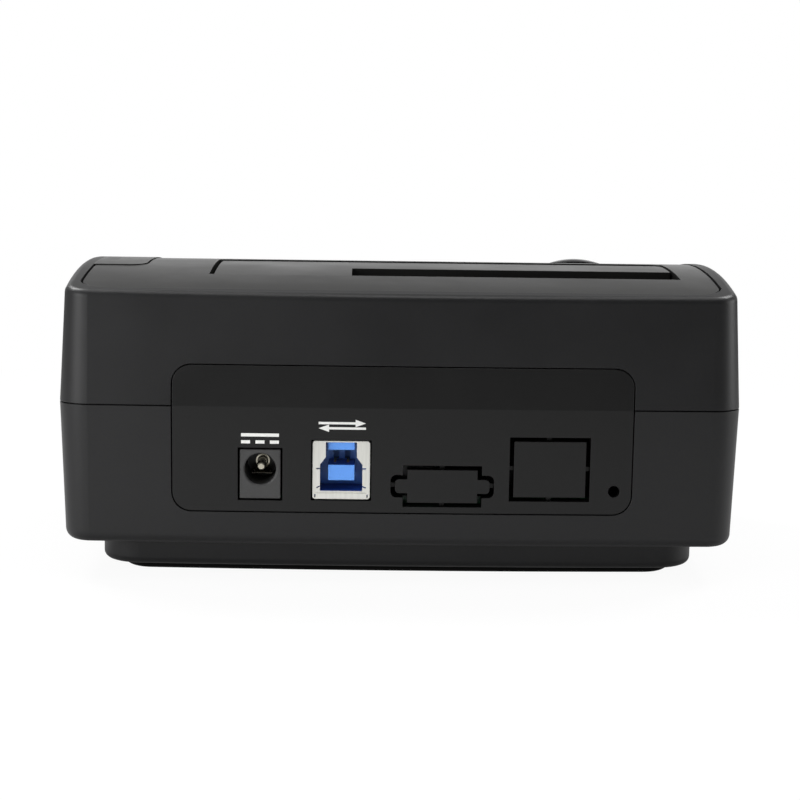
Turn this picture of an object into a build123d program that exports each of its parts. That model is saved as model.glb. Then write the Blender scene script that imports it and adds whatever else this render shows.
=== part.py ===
from build123d import *
from math import asin, cos, sin, sqrt, tan
import os

# Hard drive docking station: a two-part moulded case with an arched top, a sprung drive door,
# a drive well over the main board, and a port panel set into the rear.
# Millimetres. +Z is up, the front faces -Y and the ports face +Y.
# The origin is the middle of the base pad's underside.

# Case, in plan at the parting line
case_width = 147.4
case_depth = 96.0
corner_radius = 7.0
side_bow = 1.0
end_bow = 1.5
wall = 2.2

# Case, in height
parting_height = 38.1
parting_gap = 0.3
case_bottom = 8.1
pad_height = 2.0
crest_height = 66.1
crest_y = 4.0
top_arc_radius = 219.0
upper_draft = 3.0
lower_draft = 2.1
top_edge_radius = 1.7
bottom_edge_radius = 2.5
lip_height = 1.8
lip_thickness = 1.0
lip_clearance = 0.1

# Plinth and base pad
plinth_inset = 8.1
plinth_radius = 9.0
plinth_edge_radius = 1.6
pad_inset = 3.9
pad_edge_radius = 2.3
pad_seat_depth = 0.6
pad_clearance = 0.2

# Inset top panel
panel_half_width = case_width / 2 - 5.4
panel_rear_y = case_depth / 2 - 5.4
panel_front_y = 6.4 - case_depth / 2
panel_radius = 6.0
panel_recess = 0.2
panel_thickness = 2.0
panel_groove = 0.5
panel_seat_gap = 0.05
deck_thickness = 2.0

# Opening for 3.5-inch drives and the slot for 2.5-inch drives at its rear
opening_left = 12.2 - case_width / 2
opening_width = case_width - 43.8
opening_rear_y = case_depth / 2 - 20.1
opening_depth = 31.0
opening_front_radius = 3.0
slot_width = 72.4
slot_depth = 12.5

# Drive flap and its hinge
flap_recess = 0.5
flap_thickness = 1.8
flap_side_gap = 1.0
flap_edge_gap = 0.5
hinge_setback = 4.4
hinge_height = crest_height - 5.0
hinge_pin_radius = 1.0
hinge_fit = 0.05
lug_radius = 1.8
lug_reach = 6.4
lug_width = 3.4
lug_overhang = 1.5
lug_tip = 1.4
lug_top_gap = 0.15
spring_wire = 0.5
spring_radius = 1.6
spring_turns = 5
spring_pitch = 0.62
spring_length = 4.0
spring_leg = 3.8
spring_place = -12.0

# Drive well
well_wall = 1.5
well_clearance = 0.3
well_floor = 23.2
swing_clearance = 0.5
well_ear_height = crest_height - 11.5
well_ear_thickness = 2.0
well_ear_radius = 2.2
well_ear_gap = 0.2
well_ear_places_y = (-2.0, 21.0)
well_top_gap = 0.1

# Control strip, its window and its light dot
strip_inner_x = panel_half_width - 11.4
strip_rear_y = 17.1
strip_gap = 0.4
strip_radius = 4.0
window_width = 3.2
window_length = 11.0
window_x = panel_half_width - 2.1
window_y = 2.5
dot_x = panel_half_width - 5.8
dot_y = 3.6
dot_radius = 0.5
guide_radius = 1.2
guide_gap = 0.15

# Power button and its switch
button_x = -43.6
button_y = -27.0
button_radius = 6.6
button_gap = 0.3
button_proud = 1.45
button_dome = 1.2
button_wall = 1.2
button_flange = 1.0
button_travel = 1.0
stem_radius = 1.5
board_drop = 13.0
switch_size = 6.0
switch_height = 3.5
plunger_radius = 1.75
plunger_rise = 2.0
plunger_gap = 0.1
push_gap = 0.1

# Boards
board_thickness = 1.6
main_board_height = 16.8
main_board_half_width = case_width / 2 - 11.7
main_board_front_y = 11.0 - case_depth / 2
main_board_rear_y = case_depth / 2 - 6.0
front_board_right = case_width / 2 - 4.9
front_board_fields = (
    ((-48.0, 46.0), (-35.0, -14.0)),
    ((46.0, front_board_right), (-25.0, -14.0)),
    ((54.0, front_board_right), (-14.0, 7.0)),
)

# Rear port panel
port_panel_left = 24.4 - case_width / 2
port_panel_right = case_width / 2 - 25.4
port_panel_low = 15.6
port_panel_high = 46.8
port_panel_radius = 4.0
port_panel_gap = 0.28
port_flange = 1.6
port_flange_thickness = 1.2
port_panel_seat = 0.1
port_face_y = case_depth / 2 - 1.1

# Power jack
jack_x = port_panel_right - 18.6
jack_width = 8.6
jack_height = 10.5
jack_length = 14.0
jack_block_length = 3.4
jack_bore_radius = 3.35
jack_bore_edge = 0.25
jack_bore_depth = 11.0
jack_bore_rise = 6.3
jack_pin_radius = 1.0
jack_collar_radius = 1.55
jack_collar_bore = 1.15
jack_collar_height = 0.35
jack_tip_depth = 3.5
jack_opening_gap = 0.45
jack_barrel_radius = 4.15
leaf_width = 4.4
leaf_drop_back = 1.9
leaf_drop_peak = 1.2
leaf_peak_depth = 7.5
leaf_tip_depth = 6.0

# Data port
port_x = jack_x - 17.2
port_width = 12.2
port_height = 12.5
port_length = 16.4
port_sheet = 0.35
port_radius = 0.6
port_opening_gap = 0.3
port_cavity_depth = 9.0
tongue_setback = 1.0
port_fit = 0.05
mouth_low = 1.75
mouth_half_width = 4.5
mouth_shoulder_low = 7.4
mouth_shoulder_high = 9.0
mouth_neck = 3.3
mouth_top_rim = 0.15
seam_height = 6.55
seam_length = 0.8
seam_width = 0.26
seam_depth = 1.2
seam_x = 5.55
corner_seam_height = 2.6
corner_seam_x = 4.85
corner_seam_length = 0.9
corner_seam_tilt = 25.0
fold_height = 1.35
fold_width = 0.12
lower_tongue_low = 3.9
lower_tongue_width = 5.6
lower_tongue_height = 3.3
upper_tongue_low = 10.45
upper_tongue_width = 5.6
upper_tongue_height = 1.6
latch_hole_x = 1.2
latch_hole_height = 8.4
latch_hole_width = 1.1
latch_hole_length = 2.2
port_contact_setback = 0.8
port_contact_pitch = 1.0
port_contact_width = 0.5
upper_contacts = 5
lower_contacts = 2

# Knock-out blanks and the pinhole
knock_gap = 0.95
knock_web = 1.0
knock_web_setback = 1.4
ear_blank_x = port_x - 21.5
ear_blank_width = 16.8
ear_blank_height = 9.0
ear_blank_low = 16.9
ear_span = 22.0
ear_height = 4.9
ear_radius = 1.3
square_blank_x = ear_blank_x - 22.8
square_blank_width = 17.2
square_blank_height = 13.9
square_blank_low = 18.3
pinhole_x = port_panel_left + 3.7
pinhole_height = 20.6
pinhole_radius = 1.25

# Parts on the boards
bridge_chip_size = 10.0
bridge_chip_height = 1.0
memory_chip_length = 6.0
memory_chip_width = 5.0
memory_chip_height = 1.7
regulator_length = 6.6
regulator_width = 6.2
regulator_height = 2.3
inductor_size = 7.0
inductor_height = 4.2
crystal_length = 11.0
crystal_width = 4.6
crystal_height = 3.6
capacitor_radius = 4.0
capacitor_height = 11.5
small_part = (2.0, 1.25, 0.9)
package_edge = 0.12
can_edge_radius = 0.5
bridge_chip_places = [(-4.0, 8.0)]
memory_chip_places = [(12.0, 6.0)]
regulator_places = [(24.0, 8.0), (24.0, -4.0)]
inductor_places = [(34.0, 8.0), (34.0, -4.0)]
crystal_place = (-4.0, 22.0)
capacitor_places = [(-34.0, -24.0), (-23.0, -24.0), (48.0, -22.0)]
small_part_columns = (-40.0, -34.0, -16.0, 4.0)
small_part_rows = (-8.0, -3.0, 2.0, 12.0)
small_part_places = [(x, y) for x in small_part_columns for y in small_part_rows]
light_size = 3.0
light_height = 1.2
light_gap = 0.3
ribbon_x = 25.0
ribbon_y = -31.0
ribbon_width = 12.0
ribbon_thickness = 0.3
ribbon_front_y = -24.0
ribbon_bend_share = 0.2
socket_length = 16.0
socket_depth = 4.5
socket_height = 3.2
socket_slot = 0.5
socket_grip = 1.8

# Drive connector
connector_x = -40.5
connector_y = opening_rear_y - 3.7
connector_width = 42.0
connector_body_width = 34.6
connector_depth = 6.0
connector_neck_depth = 4.8
connector_base_height = 4.0
connector_height = 9.1
guide_post_height = 11.0
guide_post_width = 2.6
contact_pitch = 1.27
contact_width = 0.6
contact_length = 5.5
contact_thickness = 0.25
slot_hook = 2.0
post_chamfer = 0.8
slot_opening = 1.3
signal_contacts = 7
power_contacts = 15

# Fasteners
case_post_x = case_width / 2 - 19.7
case_post_y = case_depth / 2 - 14.8
case_post_radius = 3.0
case_post_split = 30.0
case_screw_recess = 6.5
board_post_radius = 2.5
screw_clearance = 0.05
head_clearance = 0.2
boss_wall = 1.2
case_screw = {"head": 2.6, "head_height": 1.6, "shank": 1.3, "length": 30.0, "pilot": 14.0}
board_screw = {"head": 2.0, "head_height": 1.4, "shank": 1.0, "length": 6.0}
board_screw_inset = 5.0
board_screw_front_y = -10.0
board_screw_rear_inset = 16.5
board_screw_rear_y = main_board_rear_y - 6.0
front_screw_places = ((-22.0, -17.5), (10.0, -17.5), (61.0, -19.5))

# Sizes that follow from those above
opening_right = opening_left + opening_width
opening_front_y = opening_rear_y - opening_depth
hinge_y = opening_front_y - hinge_setback
opening_middle_x = opening_left + opening_width / 2
opening_middle_y = opening_rear_y - opening_depth / 2
slot_right = opening_left + slot_width
flap_right = opening_right - flap_side_gap
flap_left = opening_left + flap_edge_gap
flap_front_y = opening_front_y + flap_edge_gap
flap_rear_y = opening_rear_y - flap_edge_gap
trough_bottom = hinge_height - lug_reach - swing_clearance
trough_front_y = hinge_y - lug_radius - swing_clearance
trough_left = flap_left - lug_overhang - swing_clearance
trough_right = flap_right + lug_overhang + swing_clearance
well_left = opening_left - well_clearance
well_right = opening_right + well_clearance
well_rear_y = opening_rear_y + well_clearance
well_ear_root = well_ear_radius + well_ear_gap + well_wall / 2
well_ear_reach = well_wall + well_ear_gap + well_ear_radius
well_ear_places_x = (trough_left - well_ear_reach, trough_right + well_ear_reach)
spring_rib_y = hinge_y + spring_radius + spring_wire + swing_clearance
spring_rib_low = hinge_height - spring_radius + spring_wire
panel_underside = panel_recess + panel_thickness
deck_drop = panel_underside + panel_seat_gap
deck_underside = deck_drop + deck_thickness
case_floor = pad_height + wall
main_board_top = main_board_height + board_thickness
port_block_depth = corner_radius + wall
reach = case_depth

board_screw_front_x = main_board_half_width - board_screw_inset
board_screw_rear_x = main_board_half_width - board_screw_rear_inset
board_screw_places = (
    (-board_screw_front_x, board_screw_front_y),
    (board_screw_front_x, board_screw_front_y),
    (-board_screw_rear_x, board_screw_rear_y),
    (board_screw_rear_x, board_screw_rear_y),
)
case_post_places = [(x, y) for x in (-case_post_x, case_post_x) for y in (-case_post_y, case_post_y)]
well_ear_places = [(x, y) for x in well_ear_places_x for y in well_ear_places_y]


# Shared forms


def arch_height(y, drop=0.0):
    """Height of the arched top at y, lowered by drop."""
    radius = top_arc_radius - drop
    return crest_height - top_arc_radius + sqrt(radius**2 - (y - crest_y) ** 2)


# Room in front of the open flap, whose rear edge hangs nearest to the well's front wall
flap_hang = arch_height(flap_rear_y, flap_recess + flap_thickness) - hinge_height
well_front_y = hinge_y + flap_hang - swing_clearance


def bowed_plan(half_width, half_depth, radius):
    """A round-cornered plan whose four sides bow gently outwards."""
    corner_x = half_width - side_bow
    corner_y = half_depth - end_bow
    with BuildSketch(mode=Mode.PRIVATE) as plan:
        with BuildLine():
            ThreePointArc((-corner_x, -corner_y), (0, -half_depth), (corner_x, -corner_y))
            ThreePointArc((corner_x, -corner_y), (half_width, 0), (corner_x, corner_y))
            ThreePointArc((corner_x, corner_y), (0, half_depth), (-corner_x, corner_y))
            ThreePointArc((-corner_x, corner_y), (-half_width, 0), (-corner_x, -corner_y))
        make_face()
        fillet(plan.vertices(), radius)
    return plan.sketch


def case_plan(inset):
    """The case's plan at the parting line, drawn in by inset."""
    return bowed_plan(case_width / 2 - inset, case_depth / 2 - inset, corner_radius - inset)


def below_arch(drop):
    """Everything under the arched top, lowered by drop."""
    with BuildPart(mode=Mode.PRIVATE) as form:
        with BuildSketch(Plane.YZ):
            with Locations((crest_y, crest_height - top_arc_radius)):
                Circle(top_arc_radius - drop)
        extrude(amount=case_width, both=True)
    return form.part


def upper_form(inset, drop):
    """The case above the parting line, drawn in by inset at its walls and by drop under its top."""
    with BuildPart(mode=Mode.PRIVATE) as form:
        with BuildSketch(Plane.XY.offset(parting_height)):
            add(case_plan(inset))
        extrude(amount=crest_height - parting_height + 1, taper=upper_draft)
        add(below_arch(drop), mode=Mode.INTERSECT)
    return form.part


def lower_form(inset, rise):
    """The case below the parting line, drawn in by inset at its walls and by rise at its bottom."""
    facing_down = Plane(origin=(0, 0, parting_height), x_dir=(1, 0, 0), z_dir=(0, 0, -1))
    with BuildPart(mode=Mode.PRIVATE) as form:
        with BuildSketch(facing_down):
            add(case_plan(inset))
        extrude(amount=parting_height - case_bottom + wall, taper=lower_draft)
        split(bisect_by=Plane.XY.offset(case_bottom + rise), keep=Keep.TOP)
    return form.part


def plinth_form(inset, bottom, top):
    """The step under the case, drawn in by inset, between two heights."""
    half_width = case_width / 2 - plinth_inset - inset
    half_depth = case_depth / 2 - plinth_inset - inset
    with BuildPart(mode=Mode.PRIVATE) as form:
        with BuildSketch(Plane.XY.offset(bottom)):
            add(bowed_plan(half_width, half_depth, plinth_radius - inset))
        extrude(amount=top - bottom)
    return form.part


def case_skin(outer, inner, block):
    """The layer of both halves' walls between two insets, kept where it lies in block."""
    with BuildPart(mode=Mode.PRIVATE) as skin:
        add(upper_form(outer, outer))
        add(lower_form(outer, outer))
        add(upper_form(inner, inner), mode=Mode.SUBTRACT)
        add(lower_form(inner, inner), mode=Mode.SUBTRACT)
        add(block, mode=Mode.INTERSECT)
    return skin.part


def lip_ring(outer, inner, bottom, top):
    """The ring in the case wall between two insets and two heights."""
    with BuildPart(mode=Mode.PRIVATE) as ring:
        with BuildSketch(Plane.XY.offset(bottom)):
            add(case_plan(outer))
            add(case_plan(inner), mode=Mode.SUBTRACT)
        extrude(amount=top - bottom)
    return ring.part


def port_panel_block(margin):
    """The port panel's outline, grown by margin, as a block through the rear wall."""
    middle_x = (port_panel_left + port_panel_right) / 2
    middle_z = (port_panel_low + port_panel_high) / 2
    width = port_panel_right - port_panel_left + 2 * margin
    height = port_panel_high - port_panel_low + 2 * margin
    with BuildPart(mode=Mode.PRIVATE) as block:
        with BuildSketch(Plane.XZ.offset(-reach)):
            with Locations((middle_x, middle_z)):
                RectangleRounded(width, height, port_panel_radius + margin)
        extrude(amount=reach / 2 + port_block_depth)
    return block.part


def arched_plate(plan, top, bottom):
    """A plate of the given plan between two depths under the arched top, negative depths above it."""
    with BuildPart(mode=Mode.PRIVATE) as plate:
        with BuildSketch(Plane.XY.offset(parting_height)):
            add(plan)
        extrude(amount=crest_height - parting_height + wall)
        add(below_arch(top), mode=Mode.INTERSECT)
        add(below_arch(bottom), mode=Mode.SUBTRACT)
    return plate.part


def panel_plan(margin):
    """The inset top panel's plan, grown by margin."""
    with BuildSketch(mode=Mode.PRIVATE) as plan:
        with Locations((0, (panel_rear_y + panel_front_y) / 2)):
            RectangleRounded(
                2 * (panel_half_width + margin),
                panel_rear_y - panel_front_y + 2 * margin,
                panel_radius + margin,
            )
    return plan.sketch


def opening_plan(margin):
    """The opening for 3.5-inch drives, grown by margin, with its front corners rounded."""
    with BuildSketch(mode=Mode.PRIVATE) as plan:
        with Locations((opening_middle_x, opening_middle_y)):
            Rectangle(opening_width + 2 * margin, opening_depth + 2 * margin)
        fillet(plan.vertices().group_by(Axis.Y)[0], opening_front_radius + margin)
    return plan.sketch


def strip_plan(inset):
    """The control strip's plan, drawn in by inset on the sides that meet the top panel."""
    left = strip_inner_x + inset
    rear = strip_rear_y - inset
    with BuildSketch(mode=Mode.PRIVATE) as plan:
        with Locations((left, rear)):
            Rectangle(case_width, case_depth, align=(Align.MIN, Align.MAX))
        fillet(plan.vertices().group_by(Axis.Y)[-1].sort_by(Axis.X)[0], strip_radius - inset)
        add(panel_plan(0), mode=Mode.INTERSECT)
    return plan.sketch


def pad_plan(inset):
    """The base pad's plan, drawn in by inset."""
    inset_from_case = plinth_inset + pad_inset + inset
    half_width = case_width / 2 - inset_from_case
    half_depth = case_depth / 2 - inset_from_case
    return bowed_plan(half_width, half_depth, plinth_radius - pad_inset / 2 - inset)


def well_plan(left, right, front, margin):
    """A plan of the drive well between three of its sides and its rear side, grown by margin."""
    with BuildSketch(mode=Mode.PRIVATE) as plan:
        with Locations(((left + right) / 2, (front + well_rear_y) / 2)):
            Rectangle(right - left + 2 * margin, well_rear_y - front + 2 * margin)
    return plan.sketch


def ear_blank_plan(inset):
    """The knock-out blank with two round-cornered ears, drawn in by inset."""
    with BuildSketch(mode=Mode.PRIVATE) as plan:
        RectangleRounded(ear_span - 2 * inset, ear_height - 2 * inset, ear_radius - inset / 2)
        Rectangle(ear_blank_width - 2 * inset, ear_blank_height - 2 * inset)
    return plan.sketch


def square_blank_plan(inset):
    """The square-cornered knock-out blank, drawn in by inset."""
    with BuildSketch(mode=Mode.PRIVATE) as plan:
        Rectangle(square_blank_width - 2 * inset, square_blank_height - 2 * inset)
    return plan.sketch


def blank_grooves(web):
    """The gaps round both knock-out blanks, broken by webs of that width at the middles of their sides."""
    ear_place = (ear_blank_x, ear_blank_low + ear_blank_height / 2)
    square_place = (square_blank_x, square_blank_low + square_blank_height / 2)
    with BuildSketch(mode=Mode.PRIVATE) as grooves:
        for plan, place in ((ear_blank_plan, ear_place), (square_blank_plan, square_place)):
            with Locations(place):
                add(plan(0))
                add(plan(knock_gap), mode=Mode.SUBTRACT)
                if web:
                    Rectangle(ear_span + wall, web, mode=Mode.SUBTRACT)
                    Rectangle(web, square_blank_height + wall, mode=Mode.SUBTRACT)
    return grooves.sketch


def screws(plane, places, size):
    """Screws with their heads under the plane and their shanks above it."""
    with BuildSketch(plane) as heads:
        with Locations(places):
            Circle(size["head"])
    extrude(heads.sketch, amount=-size["head_height"])
    with BuildSketch(plane) as shanks:
        with Locations(places):
            Circle(size["shank"])
    extrude(shanks.sketch, amount=size["length"])


def pilot_holes(plane, places, size, depth):
    """Holes for a set of screws, cut from the plane upwards."""
    with BuildSketch(plane) as holes:
        with Locations(places):
            Circle(size["shank"] + screw_clearance)
    extrude(holes.sketch, amount=depth, mode=Mode.SUBTRACT)


# The power button's plane is square to the arched top where the button stands
button_tilt = asin((button_y - crest_y) / top_arc_radius)
button_plane = Plane(
    origin=(button_x, button_y, arch_height(button_y)),
    x_dir=(1, 0, 0),
    z_dir=(0, sin(button_tilt), cos(button_tilt)),
)
front_board_plane = button_plane.offset(-board_drop)
board_screw_plane = Plane.XY.offset(main_board_top)
case_screw_plane = Plane.XY.offset(pad_height + case_screw_recess)


def on_board(x, y):
    """The front board's own coordinates of a point on it."""
    return (x - button_x, (y - front_board_plane.origin.Y) / cos(button_tilt))


def board_height(y):
    """Height of the front board's upper face at y."""
    return front_board_plane.origin.Z - tan(button_tilt) * (y - front_board_plane.origin.Y)


front_board_screw_places = [on_board(x, y) for x, y in front_screw_places]


# Upper shell: drafted walls, an arched deck under the inset panel, and the posts that hang from it

with BuildPart() as upper_posts:
    with BuildSketch(Plane.XY.offset(case_post_split)):
        with Locations(case_post_places):
            Circle(case_post_radius)
    extrude(amount=reach)
    with BuildSketch(Plane.XY.offset(well_ear_height)):
        with Locations(well_ear_places):
            Circle(well_ear_radius)
    extrude(amount=reach)
    with BuildSketch(front_board_plane):
        with Locations(front_board_screw_places):
            Circle(board_post_radius)
    extrude(amount=reach)
    add(below_arch(deck_drop + deck_thickness / 2), mode=Mode.INTERSECT)

with BuildPart() as upper_shell:
    add(upper_form(0, 0))
    fillet(upper_shell.faces().sort_by(Axis.Z)[-1].edges(), top_edge_radius)
    add(upper_form(wall, deck_underside), mode=Mode.SUBTRACT)
    # Rabbet for the lower shell's lip, and the parting gap
    rabbet_inset = wall - lip_thickness - lip_clearance
    rabbet_top = parting_height + lip_height + lip_clearance
    add(lip_ring(rabbet_inset, 2 * wall, parting_height, rabbet_top), mode=Mode.SUBTRACT)
    add(lip_ring(-wall, 2 * wall, parting_height, parting_height + parting_gap / 2), mode=Mode.SUBTRACT)
    add(upper_posts.part)
    # Seat of the inset top panel, and the deck's opening round the drive well
    add(arched_plate(panel_plan(panel_groove), -wall, deck_drop), mode=Mode.SUBTRACT)
    with BuildSketch(Plane.XY.offset(trough_bottom)):
        add(well_plan(trough_left, trough_right, trough_front_y, well_wall + well_clearance))
    extrude(amount=reach, mode=Mode.SUBTRACT)
    # Guide hole of the power button, and the holes for the light guides
    with BuildSketch(button_plane):
        Circle(button_radius + button_gap)
    extrude(amount=-board_drop / 2, mode=Mode.SUBTRACT)
    with BuildSketch(Plane.XY.offset(well_ear_height)):
        with Locations((window_x, window_y)):
            Rectangle(window_width, window_width)
        with Locations((dot_x, dot_y)):
            Circle(guide_radius + guide_gap)
    extrude(amount=reach, mode=Mode.SUBTRACT)
    # Rear opening for the port panel, and the pilot holes
    add(port_panel_block(port_panel_gap), mode=Mode.SUBTRACT)
    pilot_holes(Plane.XY.offset(case_post_split), case_post_places, case_screw, case_screw["pilot"])
    pilot_holes(Plane.XY.offset(well_ear_height), well_ear_places, board_screw, board_screw["length"])
    pilot_holes(front_board_plane, front_board_screw_places, board_screw, board_screw["length"])
upper_shell.part.label = "upper_shell"


# Lower shell: drafted walls over a stepped plinth, with bosses for the case screws and the main board

with BuildPart() as lower_shell:
    add(lower_form(0, 0))
    fillet(lower_shell.faces().sort_by(Axis.Z)[0].edges(), bottom_edge_radius)
    add(plinth_form(0, pad_height, case_bottom + wall))
    fillet(lower_shell.faces().sort_by(Axis.Z)[0].edges(), plinth_edge_radius)
    add(lower_form(wall, wall), mode=Mode.SUBTRACT)
    add(plinth_form(wall, case_floor, case_bottom + 2 * wall), mode=Mode.SUBTRACT)
    add(lip_ring(-wall, wall, parting_height - parting_gap / 2, parting_height), mode=Mode.SUBTRACT)
    add(lip_ring(wall - lip_thickness, wall, parting_height - lip_height, parting_height + lip_height))
    # Case bosses with their wide feet, and the board's standing posts
    with BuildSketch(Plane.XY.offset(case_floor - wall / 2)):
        with Locations(case_post_places):
            Circle(case_post_radius)
    extrude(amount=case_post_split - case_floor + wall / 2)
    with BuildSketch(Plane.XY.offset(case_floor - wall / 2)):
        with Locations(case_post_places):
            Circle(case_screw["head"] + head_clearance + boss_wall)
    extrude(amount=case_screw_recess)
    with BuildSketch(Plane.XY.offset(case_floor - wall / 2)):
        with Locations(board_screw_places):
            Circle(board_post_radius)
    extrude(amount=main_board_height - case_floor + wall / 2)
    # Recesses and holes for the screws, the pad's seat and the rear opening
    with BuildSketch(Plane.XY.offset(pad_height)):
        with Locations(case_post_places):
            Circle(case_screw["head"] + head_clearance)
    extrude(amount=case_screw_recess, mode=Mode.SUBTRACT)
    pilot_holes(case_screw_plane, case_post_places, case_screw, case_screw["length"])
    pilot_holes(Plane.XY.offset(case_floor), board_screw_places, board_screw, main_board_height)
    with BuildSketch(Plane.XY.offset(pad_height)):
        add(pad_plan(-pad_clearance))
    extrude(amount=pad_seat_depth, mode=Mode.SUBTRACT)
    add(port_panel_block(port_panel_gap), mode=Mode.SUBTRACT)
lower_shell.part.label = "lower_shell"


# Base pad: one rubber foot under the whole plinth, with its lower edge rounded over

with BuildPart() as base_pad:
    with BuildSketch():
        add(pad_plan(0))
    extrude(amount=pad_height + pad_seat_depth)
    fillet(base_pad.faces().sort_by(Axis.Z)[0].edges(), pad_edge_radius)
base_pad.part.label = "base_pad"


# Inset top panel: a thin arched plate with the drive opening, the strip's notch and the button hole

with BuildPart() as top_panel:
    add(arched_plate(panel_plan(0), panel_recess, panel_underside))
    with BuildSketch(Plane.XY.offset(parting_height)):
        add(opening_plan(0))
        add(strip_plan(0))
    extrude(amount=reach, mode=Mode.SUBTRACT)
    with BuildSketch(button_plane.offset(wall)):
        Circle(button_radius + button_gap)
    extrude(amount=-board_drop / 2, mode=Mode.SUBTRACT)
top_panel.part.label = "top_panel"


# Rear port panel: follows both shells' drafts, with a flange behind the walls and two knock-out blanks

panel_back = wall + port_panel_seat + port_flange_thickness

with BuildPart() as rear_panel:
    add(case_skin(0, panel_back, port_panel_block(0)))
    add(case_skin(wall + port_panel_seat, panel_back, port_panel_block(port_flange)))
    with BuildSketch(Plane.XZ.offset(-reach)):
        with Locations((jack_x, main_board_top + jack_height / 2)):
            Rectangle(jack_width + 2 * jack_opening_gap, jack_height + 2 * jack_opening_gap)
        with Locations((port_x, main_board_top + port_height / 2)):
            Rectangle(port_width + 2 * port_opening_gap, port_height + 2 * port_opening_gap)
        with Locations((pinhole_x, pinhole_height)):
            Circle(pinhole_radius)
        add(blank_grooves(knock_web))
    extrude(amount=reach, mode=Mode.SUBTRACT)
    # The webs that hold the knock-out blanks lie behind the face
    with BuildSketch(Plane.XZ.offset(knock_web_setback - port_face_y)):
        add(blank_grooves(0))
    extrude(amount=-corner_radius, mode=Mode.SUBTRACT)
rear_panel.part.label = "rear_panel"


# Drive well: a liner open at the top, stepped out round the flap's hinge, with four screw ears

with BuildPart() as drive_well:
    with BuildSketch(Plane.XY.offset(well_floor)):
        add(well_plan(well_left, well_right, well_front_y, well_wall))
    extrude(amount=trough_bottom - well_floor)
    with BuildSketch(Plane.XY.offset(trough_bottom - well_wall)):
        add(well_plan(trough_left, trough_right, trough_front_y, well_wall))
    extrude(amount=reach)
    with BuildSketch(Plane.XY.offset(well_floor + well_wall)):
        add(well_plan(well_left, well_right, well_front_y, 0))
    extrude(amount=reach, mode=Mode.SUBTRACT)
    with BuildSketch(Plane.XY.offset(trough_bottom)):
        add(well_plan(trough_left, trough_right, trough_front_y, 0))
    extrude(amount=reach, mode=Mode.SUBTRACT)
    add(below_arch(panel_underside + well_top_gap), mode=Mode.INTERSECT)
    # Screw ears at both ends
    with BuildSketch(Plane.XY.offset(well_ear_height - well_ear_thickness)):
        with Locations(well_ear_places):
            Circle(well_ear_radius)
        for x, y in well_ear_places:
            with Locations((x, y)):
                towards_well = Align.MIN if x < 0 else Align.MAX
                Rectangle(well_ear_root, 2 * well_ear_radius, align=(towards_well, Align.CENTER))
    extrude(amount=well_ear_thickness)
    pilot_holes(Plane.XY.offset(well_floor), well_ear_places, board_screw, reach)
    # Hinge pin holes in the end walls, and the floor's slot for the drive connector
    with BuildSketch(Plane.YZ.offset(-case_width / 2)):
        with Locations((hinge_y, hinge_height)):
            Circle(hinge_pin_radius + hinge_fit)
    extrude(amount=case_width, mode=Mode.SUBTRACT)
    with BuildSketch(Plane.XY.offset(well_floor)):
        with Locations((connector_x, connector_y)):
            Rectangle(connector_width + 2 * well_clearance, connector_depth + 2 * well_clearance)
    extrude(amount=well_wall, mode=Mode.SUBTRACT)
drive_well.part.label = "drive_well"


# Drive flap: an arched L-shaped plate round the 2.5-inch slot, carried by lugs on its hinge pin

with BuildSketch() as flap_outline:
    with Locations(((flap_left + flap_right) / 2, (flap_front_y + flap_rear_y) / 2)):
        Rectangle(flap_right - flap_left, flap_rear_y - flap_front_y)
    fillet(flap_outline.vertices().group_by(Axis.Y)[0], opening_front_radius - flap_edge_gap)
    with Locations((slot_right, opening_rear_y - slot_depth)):
        Rectangle(slot_width + wall, slot_depth + wall, align=(Align.MAX, Align.MIN), mode=Mode.SUBTRACT)

lug_places = (
    flap_left - lug_overhang + lug_width / 2,
    spring_place - spring_length / 2 - lug_width,
    spring_place + spring_length / 2 + lug_width,
    flap_right + lug_overhang - lug_width / 2,
)
lug_top = arch_height(hinge_y, panel_underside) - lug_top_gap
lug_end_y = hinge_y + lug_reach

with BuildPart() as drive_flap:
    add(arched_plate(flap_outline.sketch, flap_recess, flap_recess + flap_thickness))
    for x in lug_places:
        with BuildSketch(Plane.YZ.offset(x - lug_width / 2)):
            with Locations((hinge_y, hinge_height)):
                Circle(lug_radius)
            with Locations((lug_end_y, lug_top)):
                Rectangle(lug_tip, lug_tip, align=Align.MAX)
            make_hull()
        extrude(amount=lug_width)
    # Roots that join the lugs and the spring's rib to the plate
    with BuildSketch(Plane.XY.offset(lug_top - lug_tip)):
        for x in lug_places:
            with Locations((x, flap_front_y)):
                Rectangle(lug_width, lug_end_y - flap_front_y, align=(Align.CENTER, Align.MIN))
        with Locations((spring_place, flap_front_y)):
            Rectangle(spring_length, lug_end_y - flap_front_y, align=(Align.CENTER, Align.MIN))
        add(flap_outline.sketch, mode=Mode.INTERSECT)
    extrude(amount=lug_tip + lug_top_gap + flap_thickness / 2)
    with BuildSketch(Plane.YZ.offset(spring_place - spring_length / 2)):
        with Locations((spring_rib_y, spring_rib_low)):
            Rectangle(lug_end_y - spring_rib_y, lug_top - spring_rib_low, align=Align.MIN)
    extrude(amount=spring_length)
    with BuildSketch(Plane.YZ.offset(-case_width / 2)):
        with Locations((hinge_y, hinge_height)):
            Circle(hinge_pin_radius + hinge_fit)
    extrude(amount=case_width, mode=Mode.SUBTRACT)
drive_flap.part.label = "drive_flap"


# Flap hinge pin: a plain steel rod through the well's end walls

with BuildPart() as flap_hinge_pin:
    with BuildSketch(Plane.YZ.offset(trough_left - well_wall)):
        with Locations((hinge_y, hinge_height)):
            Circle(hinge_pin_radius)
    extrude(amount=trough_right - trough_left + 2 * well_wall)
flap_hinge_pin.part.label = "flap_hinge_pin"


# Flap spring: a torsion coil round the pin, one leg under the flap's rib and one on the trough's wall

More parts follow.
